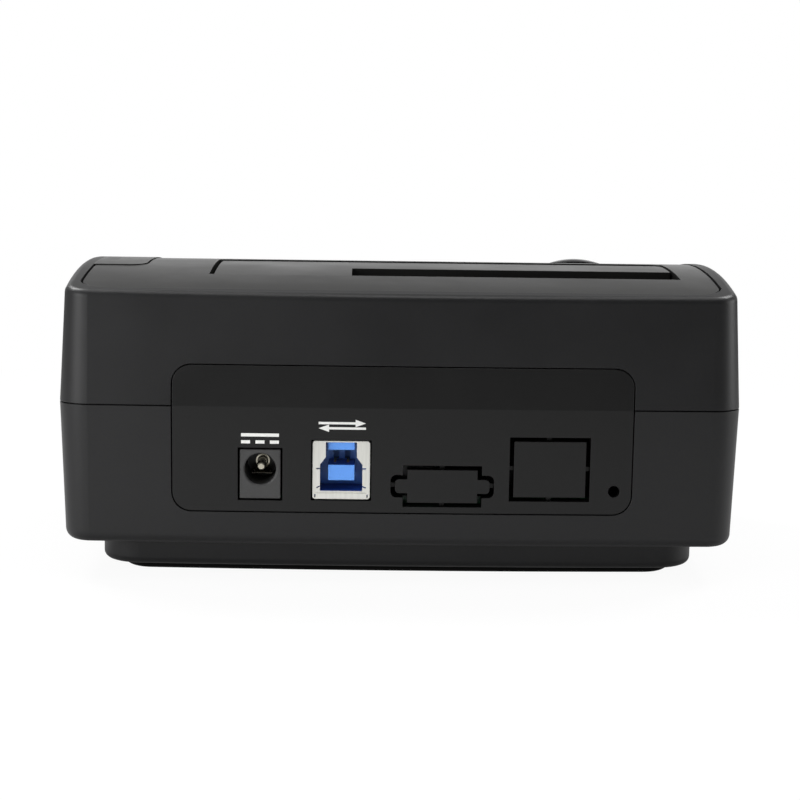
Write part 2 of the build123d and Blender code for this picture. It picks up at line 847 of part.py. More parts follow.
with BuildPart() as flap_spring:
    with BuildLine(mode=Mode.PRIVATE) as coil:
        Helix(
            pitch=spring_pitch,
            height=spring_turns * spring_pitch,
            radius=spring_radius,
            center=(spring_place + spring_turns * spring_pitch / 2, hinge_y, hinge_height),
            direction=(-1, 0, 0),
        )
    coil_start = coil.line @ 0
    coil_end = coil.line @ 1
    with BuildSketch(Plane(origin=coil_start, z_dir=coil.line % 0)):
        Circle(spring_wire / 2)
    sweep(path=coil.line)
    with BuildSketch(Plane(origin=coil_start, x_dir=(1, 0, 0), z_dir=(0, 1, 0))):
        Circle(spring_wire / 2)
    extrude(amount=spring_leg)
    with BuildSketch(Plane(origin=coil_end, x_dir=(1, 0, 0), z_dir=(0, -1, 0))):
        Circle(spring_wire / 2)
    extrude(amount=coil_end.Y - trough_front_y - hinge_fit)
flap_spring.part.label = "flap_spring"


# Control strip: the trim piece at one side of the top, with its clear window and light dot

with BuildPart() as control_strip:
    add(arched_plate(strip_plan(strip_gap), 0, panel_underside))
    with BuildSketch(Plane.XY.offset(parting_height)):
        with Locations((window_x, window_y)):
            Rectangle(window_width, window_length)
        with Locations((dot_x, dot_y)):
            Circle(dot_radius)
    extrude(amount=reach, mode=Mode.SUBTRACT)
control_strip.part.label = "control_strip"

with BuildSketch() as window_plan:
    with Locations((window_x, window_y)):
        Rectangle(window_width, window_length)

with BuildPart() as status_window:
    with BuildSketch(Plane.XY.offset(board_height(window_y) + light_height + light_gap)):
        with Locations((window_x, window_y)):
            Rectangle(2 * guide_radius, 2 * guide_radius)
    extrude(amount=reach)
    add(below_arch(panel_underside - guide_gap), mode=Mode.INTERSECT)
    add(arched_plate(window_plan.sketch, 0, panel_underside))
status_window.part.label = "status_window"

with BuildPart() as light_guide:
    with BuildSketch(Plane.XY.offset(board_height(dot_y) + light_height + light_gap)):
        with Locations((dot_x, dot_y)):
            Circle(guide_radius)
    extrude(amount=reach)
    add(below_arch(panel_underside), mode=Mode.INTERSECT)
    with BuildSketch(Plane.XY.offset(arch_height(dot_y, deck_underside))):
        with Locations((dot_x, dot_y)):
            Circle(dot_radius)
    extrude(amount=reach)
    add(below_arch(0), mode=Mode.INTERSECT)
light_guide.part.label = "light_guide"


# Power button: a domed cap with a guided skirt, a retaining flange and a stem on the switch

button_section = Plane(origin=button_plane.origin, x_dir=(1, 0, 0), z_dir=-button_plane.y_dir)
stem_end = board_drop - switch_height - plunger_rise - push_gap
flange_top = deck_underside + guide_gap

with BuildPart() as power_button:
    with BuildSketch(button_section):
        with BuildLine():
            rim = (button_radius, button_proud - button_dome)
            dome_radius = (button_radius**2 + button_dome**2) / (2 * button_dome)
            RadiusArc((0, button_proud), rim, dome_radius)
            Polyline(
                rim,
                (button_radius, -flange_top),
                (button_radius + button_wall, -flange_top),
                (button_radius + button_wall, -flange_top - button_flange),
                (button_radius - button_wall, -flange_top - button_flange),
                (button_radius - button_wall, -button_dome - button_wall),
                (stem_radius, -button_dome - button_wall),
                (stem_radius, -stem_end),
                (0, -stem_end),
                (0, button_proud),
            )
        make_face()
    revolve(axis=Axis(button_plane.origin, button_plane.z_dir))
power_button.part.label = "power_button"

with BuildPart() as power_switch_body:
    with BuildSketch(front_board_plane):
        Rectangle(switch_size, switch_size)
    extrude(amount=switch_height)
    chamfer(power_switch_body.edges().filter_by(button_plane), plunger_gap)
    with BuildSketch(front_board_plane.offset(switch_height)):
        Circle(plunger_radius + plunger_gap)
    extrude(amount=-2 * button_travel - plunger_gap, mode=Mode.SUBTRACT)
power_switch_body.part.label = "power_switch_body"

with BuildPart() as power_switch_plunger:
    with BuildSketch(front_board_plane.offset(switch_height - button_travel)):
        Circle(plunger_radius)
    extrude(amount=button_travel + plunger_rise)
power_switch_plunger.part.label = "power_switch_plunger"


# Front board: carries the switch and the two lights under the deck

with BuildPart() as front_board:
    with BuildSketch(front_board_plane):
        for x_span, y_span in front_board_fields:
            low = on_board(x_span[0], y_span[0])
            high = on_board(x_span[1], y_span[1])
            with Locations(low):
                Rectangle(high[0] - low[0], high[1] - low[1], align=Align.MIN)
        with Locations(front_board_screw_places):
            Circle(board_screw["shank"] + 2 * screw_clearance, mode=Mode.SUBTRACT)
    extrude(amount=-board_thickness)
front_board.part.label = "front_board"

with BuildPart() as status_lights:
    for x, y in ((window_x, window_y), (dot_x, dot_y)):
        with BuildSketch(front_board_plane):
            with Locations(on_board(x, y)):
                Rectangle(light_size, light_size)
        extrude(amount=light_height)
status_lights.part.label = "status_lights"

with BuildPart() as front_board_screws:
    screws(front_board_plane.offset(-board_thickness), front_board_screw_places, board_screw)
front_board_screws.part.label = "front_board_screws"


# Ribbon cable between the boards, and its two sockets

ribbon_foot = main_board_top + socket_height - socket_grip
ribbon_head = front_board_plane.offset(-board_thickness - socket_height + socket_grip)
ribbon_bend = ribbon_bend_share * (board_height(ribbon_front_y) - main_board_top)
ribbon_head_place = ribbon_head.from_local_coords((*on_board(ribbon_x, ribbon_front_y), 0))
ribbon_neck_place = ribbon_head_place - button_plane.z_dir * (ribbon_bend + socket_grip)

with BuildPart() as ribbon_cable:
    with BuildSketch(Plane.YZ.offset(ribbon_x - ribbon_width / 2)):
        with BuildLine():
            FilletPolyline(
                (ribbon_y, ribbon_foot),
                (ribbon_y, ribbon_foot + socket_grip + ribbon_bend),
                (ribbon_neck_place.Y, ribbon_neck_place.Z),
                (ribbon_head_place.Y, ribbon_head_place.Z),
                radius=ribbon_bend,
            )
        trace(line_width=ribbon_thickness)
    extrude(amount=ribbon_width)
ribbon_cable.part.label = "ribbon_cable"

with BuildPart() as ribbon_sockets:
    with BuildSketch(board_screw_plane):
        with Locations((ribbon_x, ribbon_y)):
            Rectangle(socket_length, socket_depth)
    extrude(amount=socket_height)
    with BuildSketch(board_screw_plane.offset(socket_height - socket_grip)):
        with Locations((ribbon_x, ribbon_y)):
            Rectangle(ribbon_width + socket_slot, socket_slot)
    extrude(amount=socket_grip, mode=Mode.SUBTRACT)
    with BuildSketch(front_board_plane.offset(-board_thickness)):
        with Locations(on_board(ribbon_x, ribbon_front_y)):
            Rectangle(socket_length, socket_depth)
    extrude(amount=-socket_height)
    with BuildSketch(ribbon_head):
        with Locations(on_board(ribbon_x, ribbon_front_y)):
            Rectangle(ribbon_width + socket_slot, socket_slot)
    extrude(amount=-socket_grip, mode=Mode.SUBTRACT)
ribbon_sockets.part.label = "ribbon_sockets"


# Main board and what stands on it

with BuildPart() as main_board:
    with BuildSketch(Plane.XY.offset(main_board_height)):
        with Locations((0, (main_board_front_y + main_board_rear_y) / 2)):
            RectangleRounded(
                2 * main_board_half_width, main_board_rear_y - main_board_front_y, board_post_radius
            )
        with Locations(case_post_places):
            Circle(case_post_radius + swing_clearance, mode=Mode.SUBTRACT)
        with Locations(board_screw_places):
            Circle(board_screw["shank"] + 2 * screw_clearance, mode=Mode.SUBTRACT)
    extrude(amount=board_thickness)
main_board.part.label = "main_board"


def chips(places, length, width, height):
    """Flat packages on the main board, their upper edges eased."""
    with BuildPart(mode=Mode.PRIVATE) as packages:
        with BuildSketch(board_screw_plane):
            with Locations(places):
                Rectangle(length, width)
        extrude(amount=height)
        chamfer(packages.faces().filter_by(Axis.Z).group_by(Axis.Z)[-1].edges(), package_edge)
    return packages.part


with BuildPart() as bridge_chip:
    add(chips(bridge_chip_places, bridge_chip_size, bridge_chip_size, bridge_chip_height))
bridge_chip.part.label = "bridge_chip"

with BuildPart() as memory_chip:
    add(chips(memory_chip_places, memory_chip_length, memory_chip_width, memory_chip_height))
memory_chip.part.label = "memory_chip"

with BuildPart() as voltage_regulators:
    add(chips(regulator_places, regulator_length, regulator_width, regulator_height))
voltage_regulators.part.label = "voltage_regulators"

with BuildPart() as power_inductors:
    add(chips(inductor_places, inductor_size, inductor_size, inductor_height))
power_inductors.part.label = "power_inductors"

with BuildPart() as small_parts:
    add(chips(small_part_places, *small_part))
small_parts.part.label = "small_parts"

with BuildPart() as clock_crystal:
    with BuildSketch(board_screw_plane):
        with Locations(crystal_place):
            SlotOverall(crystal_length, crystal_width)
    extrude(amount=crystal_height)
    fillet(clock_crystal.faces().sort_by(Axis.Z)[-1].edges(), can_edge_radius)
clock_crystal.part.label = "clock_crystal"

with BuildPart() as bulk_capacitors:
    with BuildSketch(board_screw_plane):
        with Locations(capacitor_places):
            Circle(capacitor_radius)
    extrude(amount=capacitor_height)
    fillet(bulk_capacitors.faces().group_by(Axis.Z)[-1].edges(), can_edge_radius)
bulk_capacitors.part.label = "bulk_capacitors"

with BuildPart() as main_board_screws:
    screws(board_screw_plane, board_screw_places, board_screw)
    mirror(about=board_screw_plane, mode=Mode.REPLACE)
main_board_screws.part.label = "main_board_screws"

with BuildPart() as well_screws:
    screws(Plane.XY.offset(well_ear_height - well_ear_thickness), well_ear_places, board_screw)
well_screws.part.label = "well_screws"

with BuildPart() as case_screws:
    screws(case_screw_plane, case_post_places, case_screw)
case_screws.part.label = "case_screws"


# Drive connector: a slotted housing between guide posts, standing through the well's floor

post_shift = (connector_width - guide_post_width) / 2
signal_slot = signal_contacts * contact_pitch + slot_opening
power_slot = power_contacts * contact_pitch + slot_opening
signal_x = connector_x - connector_body_width / 2 + slot_opening / 2 + signal_slot / 2
power_x = connector_x + connector_body_width / 2 - slot_opening / 2 - power_slot / 2
contact_y = connector_y - (slot_opening - contact_thickness) / 2

with BuildPart() as drive_connector_housing:
    with BuildSketch(board_screw_plane):
        with Locations((connector_x, connector_y)):
            Rectangle(connector_width, connector_depth)
    extrude(amount=connector_base_height)
    with BuildSketch(board_screw_plane):
        with Locations((connector_x, connector_y)):
            Rectangle(connector_body_width, connector_neck_depth)
    extrude(amount=connector_height)
    with BuildSketch(board_screw_plane):
        with Locations((connector_x - post_shift, connector_y), (connector_x + post_shift, connector_y)):
            Rectangle(guide_post_width, connector_neck_depth)
    extrude(amount=guide_post_height)
    chamfer(drive_connector_housing.faces().filter_by(Axis.Z).group_by(Axis.Z)[-1].edges(), post_chamfer)
    with BuildSketch(board_screw_plane.offset(connector_height)):
        with Locations((signal_x, connector_y)):
            Rectangle(signal_slot, slot_opening)
        with Locations((power_x, connector_y)):
            Rectangle(power_slot, slot_opening)
        with Locations((signal_x + signal_slot / 2, connector_y), (power_x + power_slot / 2, connector_y)):
            Rectangle(slot_opening, slot_hook, align=(Align.MAX, Align.MIN))
    extrude(amount=-contact_length - slot_opening / 2, mode=Mode.SUBTRACT)
drive_connector_housing.part.label = "drive_connector_housing"

with BuildPart() as drive_connector_contacts:
    with BuildSketch(board_screw_plane.offset(connector_height - contact_length - slot_opening / 2)):
        with Locations((signal_x, contact_y)):
            with GridLocations(contact_pitch, 0, signal_contacts, 1):
                Rectangle(contact_width, contact_thickness)
        with Locations((power_x, contact_y)):
            with GridLocations(contact_pitch, 0, power_contacts, 1):
                Rectangle(contact_width, contact_thickness)
    extrude(amount=contact_length)
drive_connector_contacts.part.label = "drive_connector_contacts"


# Data port: a folded metal shell with a shouldered mouth, and a blue insulator with two tongues

port_plane = Plane(origin=(port_x, port_face_y, main_board_top), x_dir=(1, 0, 0), z_dir=(0, -1, 0))


def mouth_plan():
    """The port's mouth: a wide lower part, two slanted shoulders and a narrower upper part."""
    with BuildSketch(mode=Mode.PRIVATE) as plan:
        with BuildLine():
            Polyline(
                (0, mouth_low),
                (mouth_half_width, mouth_low),
                (mouth_half_width, mouth_shoulder_low),
                (mouth_neck, mouth_shoulder_high),
                (mouth_neck, port_height - mouth_top_rim),
                (0, port_height - mouth_top_rim),
                (0, mouth_low),
            )
        make_face()
        mirror(about=Plane.YZ)
    return plan.sketch


def seams_plan():
    """The seams where the port's front flanges fold in, three on each side."""
    with BuildSketch(mode=Mode.PRIVATE) as plan:
        for side in (-1, 1):
            with Locations((side * mouth_half_width, seam_height)):
                Rectangle(2 * seam_length, seam_width)
            with Locations(Location((side * corner_seam_x, corner_seam_height), -side * corner_seam_tilt)):
                Rectangle(corner_seam_length, seam_width)
            with Locations((side * seam_x, fold_height / 2)):
                Rectangle(seam_width, fold_height / 2)
    return plan.sketch


with BuildPart() as data_port_shell:
    with BuildSketch(port_plane):
        with Locations((0, port_height / 2)):
            RectangleRounded(port_width, port_height, port_radius)
    extrude(amount=port_length)
    with BuildSketch(port_plane.offset(port_sheet)):
        with Locations((0, port_height / 2)):
            Rectangle(port_width - 2 * port_sheet, port_height - 2 * port_sheet)
    extrude(amount=port_length - port_sheet, mode=Mode.SUBTRACT)
    with BuildSketch(port_plane):
        add(mouth_plan())
    extrude(amount=port_sheet, mode=Mode.SUBTRACT)
    with BuildSketch(port_plane):
        add(seams_plan())
    extrude(amount=port_sheet, mode=Mode.SUBTRACT)
    # Fold line of the lower flange
    with BuildSketch(port_plane):
        with Locations((0, fold_height)):
            Rectangle(2 * seam_x, fold_width)
    extrude(amount=fold_width, mode=Mode.SUBTRACT)
data_port_shell.part.label = "data_port_shell"

core_inset = port_sheet + port_fit

with BuildPart() as data_port_core:
    with BuildSketch(port_plane.offset(core_inset)):
        with Locations((0, port_height / 2)):
            Rectangle(port_width - 2 * core_inset, port_height - 2 * core_inset)
    extrude(amount=port_length - core_inset)
    with BuildSketch(port_plane):
        add(mouth_plan())
    extrude(amount=port_cavity_depth, mode=Mode.SUBTRACT)
    with BuildSketch(port_plane):
        add(seams_plan())
    extrude(amount=seam_depth, mode=Mode.SUBTRACT)
    with BuildSketch(port_plane.offset(tongue_setback)):
        with Locations((0, lower_tongue_low)):
            Rectangle(lower_tongue_width, lower_tongue_height, align=(Align.CENTER, Align.MIN))
        with Locations((0, upper_tongue_low)):
            Rectangle(upper_tongue_width, upper_tongue_height, align=(Align.CENTER, Align.MIN))
    extrude(amount=port_cavity_depth)
    with BuildSketch(port_plane.offset(port_cavity_depth)):
        with Locations((-latch_hole_x, latch_hole_height), (latch_hole_x, latch_hole_height)):
            Rectangle(latch_hole_width, latch_hole_length)
    extrude(amount=latch_hole_length, mode=Mode.SUBTRACT)
data_port_core.part.label = "data_port_core"

with BuildPart() as data_port_contacts:
    with BuildSketch(port_plane.offset(tongue_setback + port_contact_setback)):
        with Locations((0, upper_tongue_low)):
            with GridLocations(port_contact_pitch, 0, upper_contacts, 1):
                Rectangle(port_contact_width, contact_thickness, align=(Align.CENTER, Align.MAX))
        with Locations((0, lower_tongue_low)):
            with GridLocations(lower_tongue_width / 2, 0, lower_contacts, 1):
                Rectangle(port_contact_width, contact_thickness, align=(Align.CENTER, Align.MAX))
        with Locations((0, lower_tongue_low + lower_tongue_height)):
            with GridLocations(lower_tongue_width / 2, 0, lower_contacts, 1):
                Rectangle(port_contact_width, contact_thickness, align=(Align.CENTER, Align.MIN))
    extrude(amount=port_cavity_depth - tongue_setback - port_contact_setback)
data_port_contacts.part.label = "data_port_contacts"


# Power jack: a moulded housing with a round bore, a centre pin with its collar, and a leaf contact

jack_plane = Plane(origin=(jack_x, port_face_y, main_board_top), x_dir=(1, 0, 0), z_dir=(0, -1, 0))

with BuildPart() as power_jack_housing:
    with BuildSketch(jack_plane):
        Rectangle(jack_width, jack_height, align=(Align.CENTER, Align.MIN))
    extrude(amount=jack_block_length)
    with BuildSketch(jack_plane):
        with Locations((0, jack_bore_rise)):
            Circle(jack_barrel_radius)
        Rectangle(2 * jack_barrel_radius, jack_bore_rise, align=(Align.CENTER, Align.MIN))
    extrude(amount=jack_length)
    with BuildSketch(jack_plane):
        with Locations((0, jack_bore_rise)):
            Circle(jack_bore_radius)
    extrude(amount=jack_bore_depth, mode=Mode.SUBTRACT)
    bore_rim = power_jack_housing.edges().filter_by(GeomType.CIRCLE).sort_by(Axis.Y)[-1]
    chamfer(bore_rim, jack_bore_edge)
    with BuildSketch(jack_plane):
        with Locations((0, jack_bore_rise)):
            Circle(jack_pin_radius + port_fit)
    extrude(amount=jack_length, mode=Mode.SUBTRACT)
power_jack_housing.part.label = "power_jack_housing"

with BuildPart() as power_jack_pin:
    with BuildSketch(jack_plane.offset(jack_tip_depth)):
        with Locations((0, jack_bore_rise)):
            Circle(jack_pin_radius)
    extrude(amount=jack_length - jack_tip_depth)
    fillet(power_jack_pin.faces().sort_by(Axis.Y)[-1].edges(), jack_pin_radius / 2)
    with BuildSketch(jack_plane.offset(jack_bore_depth)):
        with Locations((0, jack_bore_rise)):
            Circle(jack_collar_radius)
            Circle(jack_collar_bore, mode=Mode.SUBTRACT)
    extrude(amount=-jack_collar_height)
power_jack_pin.part.label = "power_jack_pin"

with BuildPart() as power_jack_leaf:
    with BuildSketch(Plane.YZ.offset(jack_x - leaf_width / 2)):
        with BuildLine():
            Polyline(
                (port_face_y - jack_bore_depth, main_board_top + jack_bore_rise - leaf_drop_back),
                (port_face_y - leaf_peak_depth, main_board_top + jack_bore_rise - leaf_drop_peak),
                (port_face_y - leaf_tip_depth, main_board_top + jack_bore_rise - leaf_drop_back),
            )
        trace(line_width=contact_thickness)
    extrude(amount=leaf_width)
power_jack_leaf.part.label = "power_jack_leaf"


pieces = (
    upper_shell,
    lower_shell,
    base_pad,
    top_panel,
    rear_panel,
    drive_well,
    drive_flap,
    flap_hinge_pin,
    flap_spring,
    control_strip,
    status_window,
    light_guide,
    power_button,
    power_switch_body,
    power_switch_plunger,
    front_board,
    status_lights,
    front_board_screws,
    ribbon_cable,
    ribbon_sockets,
    main_board,
    bridge_chip,
    memory_chip,
    voltage_regulators,
    power_inductors,
    small_parts,
    clock_crystal,
    bulk_capacitors,
    main_board_screws,
    well_screws,
    case_screws,
    drive_connector_housing,
    drive_connector_contacts,
    data_port_shell,
    data_port_core,
    data_port_contacts,
    power_jack_housing,
    power_jack_pin,
    power_jack_leaf,
)

os.makedirs("parts", exist_ok=True)
for piece in pieces:
    export_step(piece.part, f"parts/{piece.part.label}.step")
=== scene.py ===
import math

import bmesh
import bpy
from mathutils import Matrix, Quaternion, Vector


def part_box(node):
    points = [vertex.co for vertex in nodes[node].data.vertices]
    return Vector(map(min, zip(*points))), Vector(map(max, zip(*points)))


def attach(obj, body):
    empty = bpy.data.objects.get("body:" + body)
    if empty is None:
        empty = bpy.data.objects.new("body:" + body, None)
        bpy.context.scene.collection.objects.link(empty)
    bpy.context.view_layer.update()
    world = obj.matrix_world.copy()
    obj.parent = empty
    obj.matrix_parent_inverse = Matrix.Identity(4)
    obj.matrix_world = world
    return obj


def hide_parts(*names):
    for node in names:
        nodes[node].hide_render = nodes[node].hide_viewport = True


# The looks of a hard drive docking station, seen from its rear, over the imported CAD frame.
# Lengths are in metres where nothing else is said. +Z is up, the front faces -Y and the port panel +Y.

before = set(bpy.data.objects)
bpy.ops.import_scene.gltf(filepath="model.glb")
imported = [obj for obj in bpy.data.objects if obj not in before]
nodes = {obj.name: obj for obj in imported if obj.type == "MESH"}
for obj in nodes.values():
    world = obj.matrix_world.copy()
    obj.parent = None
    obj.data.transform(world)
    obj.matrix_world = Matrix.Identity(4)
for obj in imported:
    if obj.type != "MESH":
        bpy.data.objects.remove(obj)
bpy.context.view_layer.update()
MM = 0.001


def added(name, data):
    """A new object with that data, in the scene."""
    made = bpy.data.objects.new(name, data)
    bpy.context.scene.collection.objects.link(made)
    return made


# Camera: a long lens behind the dock, a little above it and turned a little to its side

CAMERA_PLACE = Vector((0.00722, 0.45236, 0.09585))
CAMERA_TURN = math.radians(0.987)
CAMERA_DIP = math.radians(7.866)
CAMERA_ROLL = math.radians(0.803)
# The sensor and the lens are in millimetres
SENSOR = 36.0
LENS = 87.167
NEAREST = 0.02
FARTHEST = 20.0

camera = added("camera", bpy.data.cameras.new("camera"))
bpy.context.scene.camera = camera
camera.data.sensor_width = SENSOR
camera.data.lens = LENS
camera.data.clip_start = NEAREST
camera.data.clip_end = FARTHEST
looking = Vector((
    -math.sin(CAMERA_TURN) * math.cos(CAMERA_DIP),
    -math.cos(CAMERA_TURN) * math.cos(CAMERA_DIP),
    -math.sin(CAMERA_DIP),
))
camera.location = CAMERA_PLACE
camera.rotation_mode = "QUATERNION"
camera.rotation_quaternion = looking.to_track_quat("-Z", "Y") @ Quaternion((0, 0, 1), CAMERA_ROLL)
bpy.context.scene.view_settings.view_transform = "Standard"


# Colours and nodes


def srgb(code):
    """The linear colour of an sRGB hex value."""
    parts = [int(code[i:i + 2], 16) / 255 for i in (1, 3, 5)]
    linear = [p / 12.92 if p <= 0.04045 else ((p + 0.055) / 1.055) ** 2.4 for p in parts]
    return (*linear, 1.0)


def node(tree, kind, inputs=None, **settings):
    """Adds a node with its settings. Each input takes a value, or another node's output as a link."""
    made = tree.nodes.new(kind)
    for name, value in settings.items():
        setattr(made, name, value)
    for name, value in (inputs or {}).items():
        if isinstance(value, bpy.types.NodeSocket):
            tree.links.new(value, made.inputs[name])
        else:
            made.inputs[name].default_value = value
    return made


def material(name):
    """An empty node material and its tree."""
    made = bpy.data.materials.new(name)
    made.use_nodes = True
    made.node_tree.nodes.clear()
    return made, made.node_tree


def per_mm(size):
    """A texture's scale for features of that many millimetres."""
    return 1 / (size * MM)


# Noise keeps to about this range, so each spread is mapped from it
NOISE_RANGE = {"From Min": 0.3, "From Max": 0.7}
BEVEL_SAMPLES = 4
# Marks of the plastic's flow in its mould, in millimetres, and how far they vary the roughness
FLOW_MARKS = 18.0
FLOW_GLOSS = 0.04
# An edge is rubbed to this share of the roughness, where eased and plain normals part by these cosines
RUBBED_SHARE = 0.75
RUBBED_COSINE = 0.75
PLAIN_COSINE = 0.99
# A face looks out through the port panel where its normal's Y is near the second value; faces below the
# first value take the full painted shade of the port's mouth
SIDE_NORMAL = 0.3
FRONT_NORMAL = 0.9


def moulded(name, colour, roughness, grain, depth, specular=0.5, mottle=0.08, edge=0.18, sides=None):
    """A moulded plastic: grain of that size and depth in millimetres, a faint mottle and eased edges.

    The edges are eased in the shading over a radius of edge millimetres, and rubbed a little smoother there.
    With sides, faces that don't look out through the port panel take those shares of red, green and blue: a
    painted shade for faces that light reaches only through the port's mouth.
    """
    made, tree = material(name)
    place = node(tree, "ShaderNodeTexCoord").outputs["Object"]
    fine = node(tree, "ShaderNodeTexNoise", {
        "Vector": place, "Scale": per_mm(grain), "Detail": 3.0, "Roughness": 0.6,
    })
    broad = node(tree, "ShaderNodeTexNoise", {
        "Vector": place, "Scale": per_mm(FLOW_MARKS), "Detail": 4.0, "Roughness": 0.55,
    })
    tone, speck = (
        node(tree, "ShaderNodeMapRange", {
            **NOISE_RANGE, "Value": noise.outputs["Fac"], "To Min": 1 - mottle, "To Max": 1 + mottle,
        }) for noise in (broad, fine)
    )
    both = node(tree, "ShaderNodeMath", {0: tone.outputs[0], 1: speck.outputs[0]}, operation="MULTIPLY")
    eased = node(tree, "ShaderNodeBevel", {"Radius": edge * MM}, samples=BEVEL_SAMPLES)
    plain = node(tree, "ShaderNodeNewGeometry").outputs["Normal"]
    base = node(tree, "ShaderNodeVectorMath", {
        0: srgb(colour)[:3], "Scale": both.outputs[0],
    }, operation="SCALE")
    # Painted shade: faces that don't look out through the port panel are drawn in a darker share of the
    # colour
    if sides:
        outward = node(tree, "ShaderNodeSeparateXYZ", {"Vector": plain})
        front = node(tree, "ShaderNodeMapRange", {
            "Value": outward.outputs["Y"], "From Min": SIDE_NORMAL, "From Max": FRONT_NORMAL,
        })
        tint = node(tree, "ShaderNodeVectorMath", {
            0: front.outputs[0], 1: [1 - s for s in sides], 2: sides,
        }, operation="MULTIPLY_ADD")
        base = node(tree, "ShaderNodeVectorMath", {
            0: base.outputs[0], 1: tint.outputs[0],
        }, operation="MULTIPLY")
    facing = node(tree, "ShaderNodeVectorMath", {0: eased.outputs[0], 1: plain}, operation="DOT_PRODUCT")
    worn = node(tree, "ShaderNodeMapRange", {
        "Value": facing.outputs["Value"], "From Min": RUBBED_COSINE, "From Max": PLAIN_COSINE,
        "To Min": RUBBED_SHARE, "To Max": 1.0,
    })
    polish = node(tree, "ShaderNodeMapRange", {
        **NOISE_RANGE, "Value": broad.outputs["Fac"],
        "To Min": roughness - FLOW_GLOSS, "To Max": roughness + FLOW_GLOSS,
    })
    rough = node(tree, "ShaderNodeMath", {0: polish.outputs[0], 1: worn.outputs[0]}, operation="MULTIPLY")
    relief = node(tree, "ShaderNodeBump", {
        "Height": fine.outputs["Fac"], "Distance": depth * MM, "Strength": 1.0, "Normal": eased.outputs[0],
    })
    surface = node(tree, "ShaderNodeBsdfPrincipled", {
        "Base Color": base.outputs[0], "Roughness": rough.outputs[0], "Normal": relief.outputs[0],
        "Specular IOR Level": specular,
    })
    node(tree, "ShaderNodeOutputMaterial", {"Surface": surface.outputs[0]})
    return made


# A metal's lines run along Z, where their noise is stretched by this rate
ALONG_LINES = 0.08
# The darkest and the brightest line's share of the colour
LINE_DARK = 0.94
LINE_BRIGHT = 1.03
# Stains in the plating, and the radius of the eased edges, in millimetres
STAINS = 2.5
STAIN_GLOSS = 0.06
METAL_EDGE = 0.12


def metal(name, colour, roughness, lines, depth):
    """A plated or drawn metal: lines of that spacing and depth in millimetres, and stains in its gloss."""
    made, tree = material(name)
    place = node(tree, "ShaderNodeTexCoord").outputs["Object"]
    stretched = node(tree, "ShaderNodeMapping", {"Vector": place, "Scale": (1.0, 1.0, ALONG_LINES)})
    drawn = node(tree, "ShaderNodeTexNoise", {
        "Vector": stretched.outputs[0], "Scale": per_mm(lines), "Detail": 3.0, "Roughness": 0.6,
    })
    stains = node(tree, "ShaderNodeTexNoise", {"Vector": place, "Scale": per_mm(STAINS), "Detail": 3.0})
    gloss = node(tree, "ShaderNodeMapRange", {
        **NOISE_RANGE, "Value": stains.outputs["Fac"],
        "To Min": roughness - STAIN_GLOSS, "To Max": roughness + STAIN_GLOSS,
    })
    tone = node(tree, "ShaderNodeMapRange", {
        **NOISE_RANGE, "Value": drawn.outputs["Fac"], "To Min": LINE_DARK, "To Max": LINE_BRIGHT,
    })
    base = node(tree, "ShaderNodeVectorMath", {
        0: srgb(colour)[:3], "Scale": tone.outputs[0],
    }, operation="SCALE")
    eased = node(tree, "ShaderNodeBevel", {"Radius": METAL_EDGE * MM}, samples=BEVEL_SAMPLES)
    relief = node(tree, "ShaderNodeBump", {
        "Height": drawn.outputs["Fac"], "Distance": depth * MM, "Strength": 1.0, "Normal": eased.outputs[0],
    })
    surface = node(tree, "ShaderNodeBsdfPrincipled", {
        "Base Color": base.outputs[0], "Metallic": 1.0, "Roughness": gloss.outputs[0],
        "Normal": relief.outputs[0],
    })
    node(tree, "ShaderNodeOutputMaterial", {"Surface": surface.outputs[0]})
    return made


# Plastics and rubber
# Real grain is finer than a pixel, so each is drawn as coarse as it needs to show: 0.2 to 0.8 mm

# ABS moulded in a spark-eroded mould, whose grain breaks the light into a soft grey
textured_abs = moulded("textured_abs", "#1a1a1b", 0.42, 0.38, 0.006, specular=0.36)
# The inset panel, the flap and the strip have a finer grain, so their gloss is a little higher
fine_abs = moulded("fine_textured_abs", "#1b1b1a", 0.33, 0.24, 0.005, specular=0.35)
# The port panel is the same plastic from a coarser, duller mould, and stays darker than the case
dull_abs = moulded("dull_textured_abs", "#0f0f0f", 0.38, 0.38, 0.006, specular=0.36)
# The well's liner is plain ABS from a matte mould, nearly black where it shows in the slot
well_abs = moulded("matte_black_abs", "#0f0f0f", 0.58, 0.45, 0.008, specular=0.22)
# The button's cap is polished ABS: deep black, with small clear highlights
button_abs = moulded("polished_abs", "#070708", 0.16, 0.6, 0.0008, specular=0.08, mottle=0.04)
# The base pad is moulded rubber, dull and slightly dusty
pad_rubber = moulded("moulded_rubber", "#070706", 0.72, 0.55, 0.012, specular=0.12, mottle=0.18)
# The jack is glass-filled nylon, greyer than the case, with wide, softly lit edges
jack_nylon = moulded("glass_filled_nylon", "#3e3e3e", 0.40, 0.30, 0.005, specular=0.5, edge=0.35)
# The inner connectors are unfilled nylon: black, even and satin
connector_nylon = moulded("black_connector_nylon", "#1b1b1c", 0.4, 0.3, 0.004)
# Moulded epoxy makes the chips a flat, slightly blue dark grey
chip_epoxy = moulded("epoxy_package", "#202124", 0.5, 0.2, 0.004)
# Pressed and fired ferrite looks like dry, dark stone
ferrite = moulded("pressed_ferrite", "#38393b", 0.6, 0.35, 0.01)
# Nylon without pigment is a warm off-white, even and waxy
pale_nylon = moulded("natural_nylon", "#d8d4c6", 0.4, 0.4, 0.004, mottle=0.03)
# The ribbon's insulation is extruded vinyl, a light grey with a low sheen
ribbon_vinyl = moulded("grey_vinyl", "#a9abad", 0.45, 0.5, 0.004, mottle=0.04)
# The lights' bodies are cast epoxy, smooth and glossy, with a cold white cast
lamp_epoxy = moulded("clear_lamp_epoxy", "#cfd6da", 0.2, 0.8, 0.001, mottle=0.02)
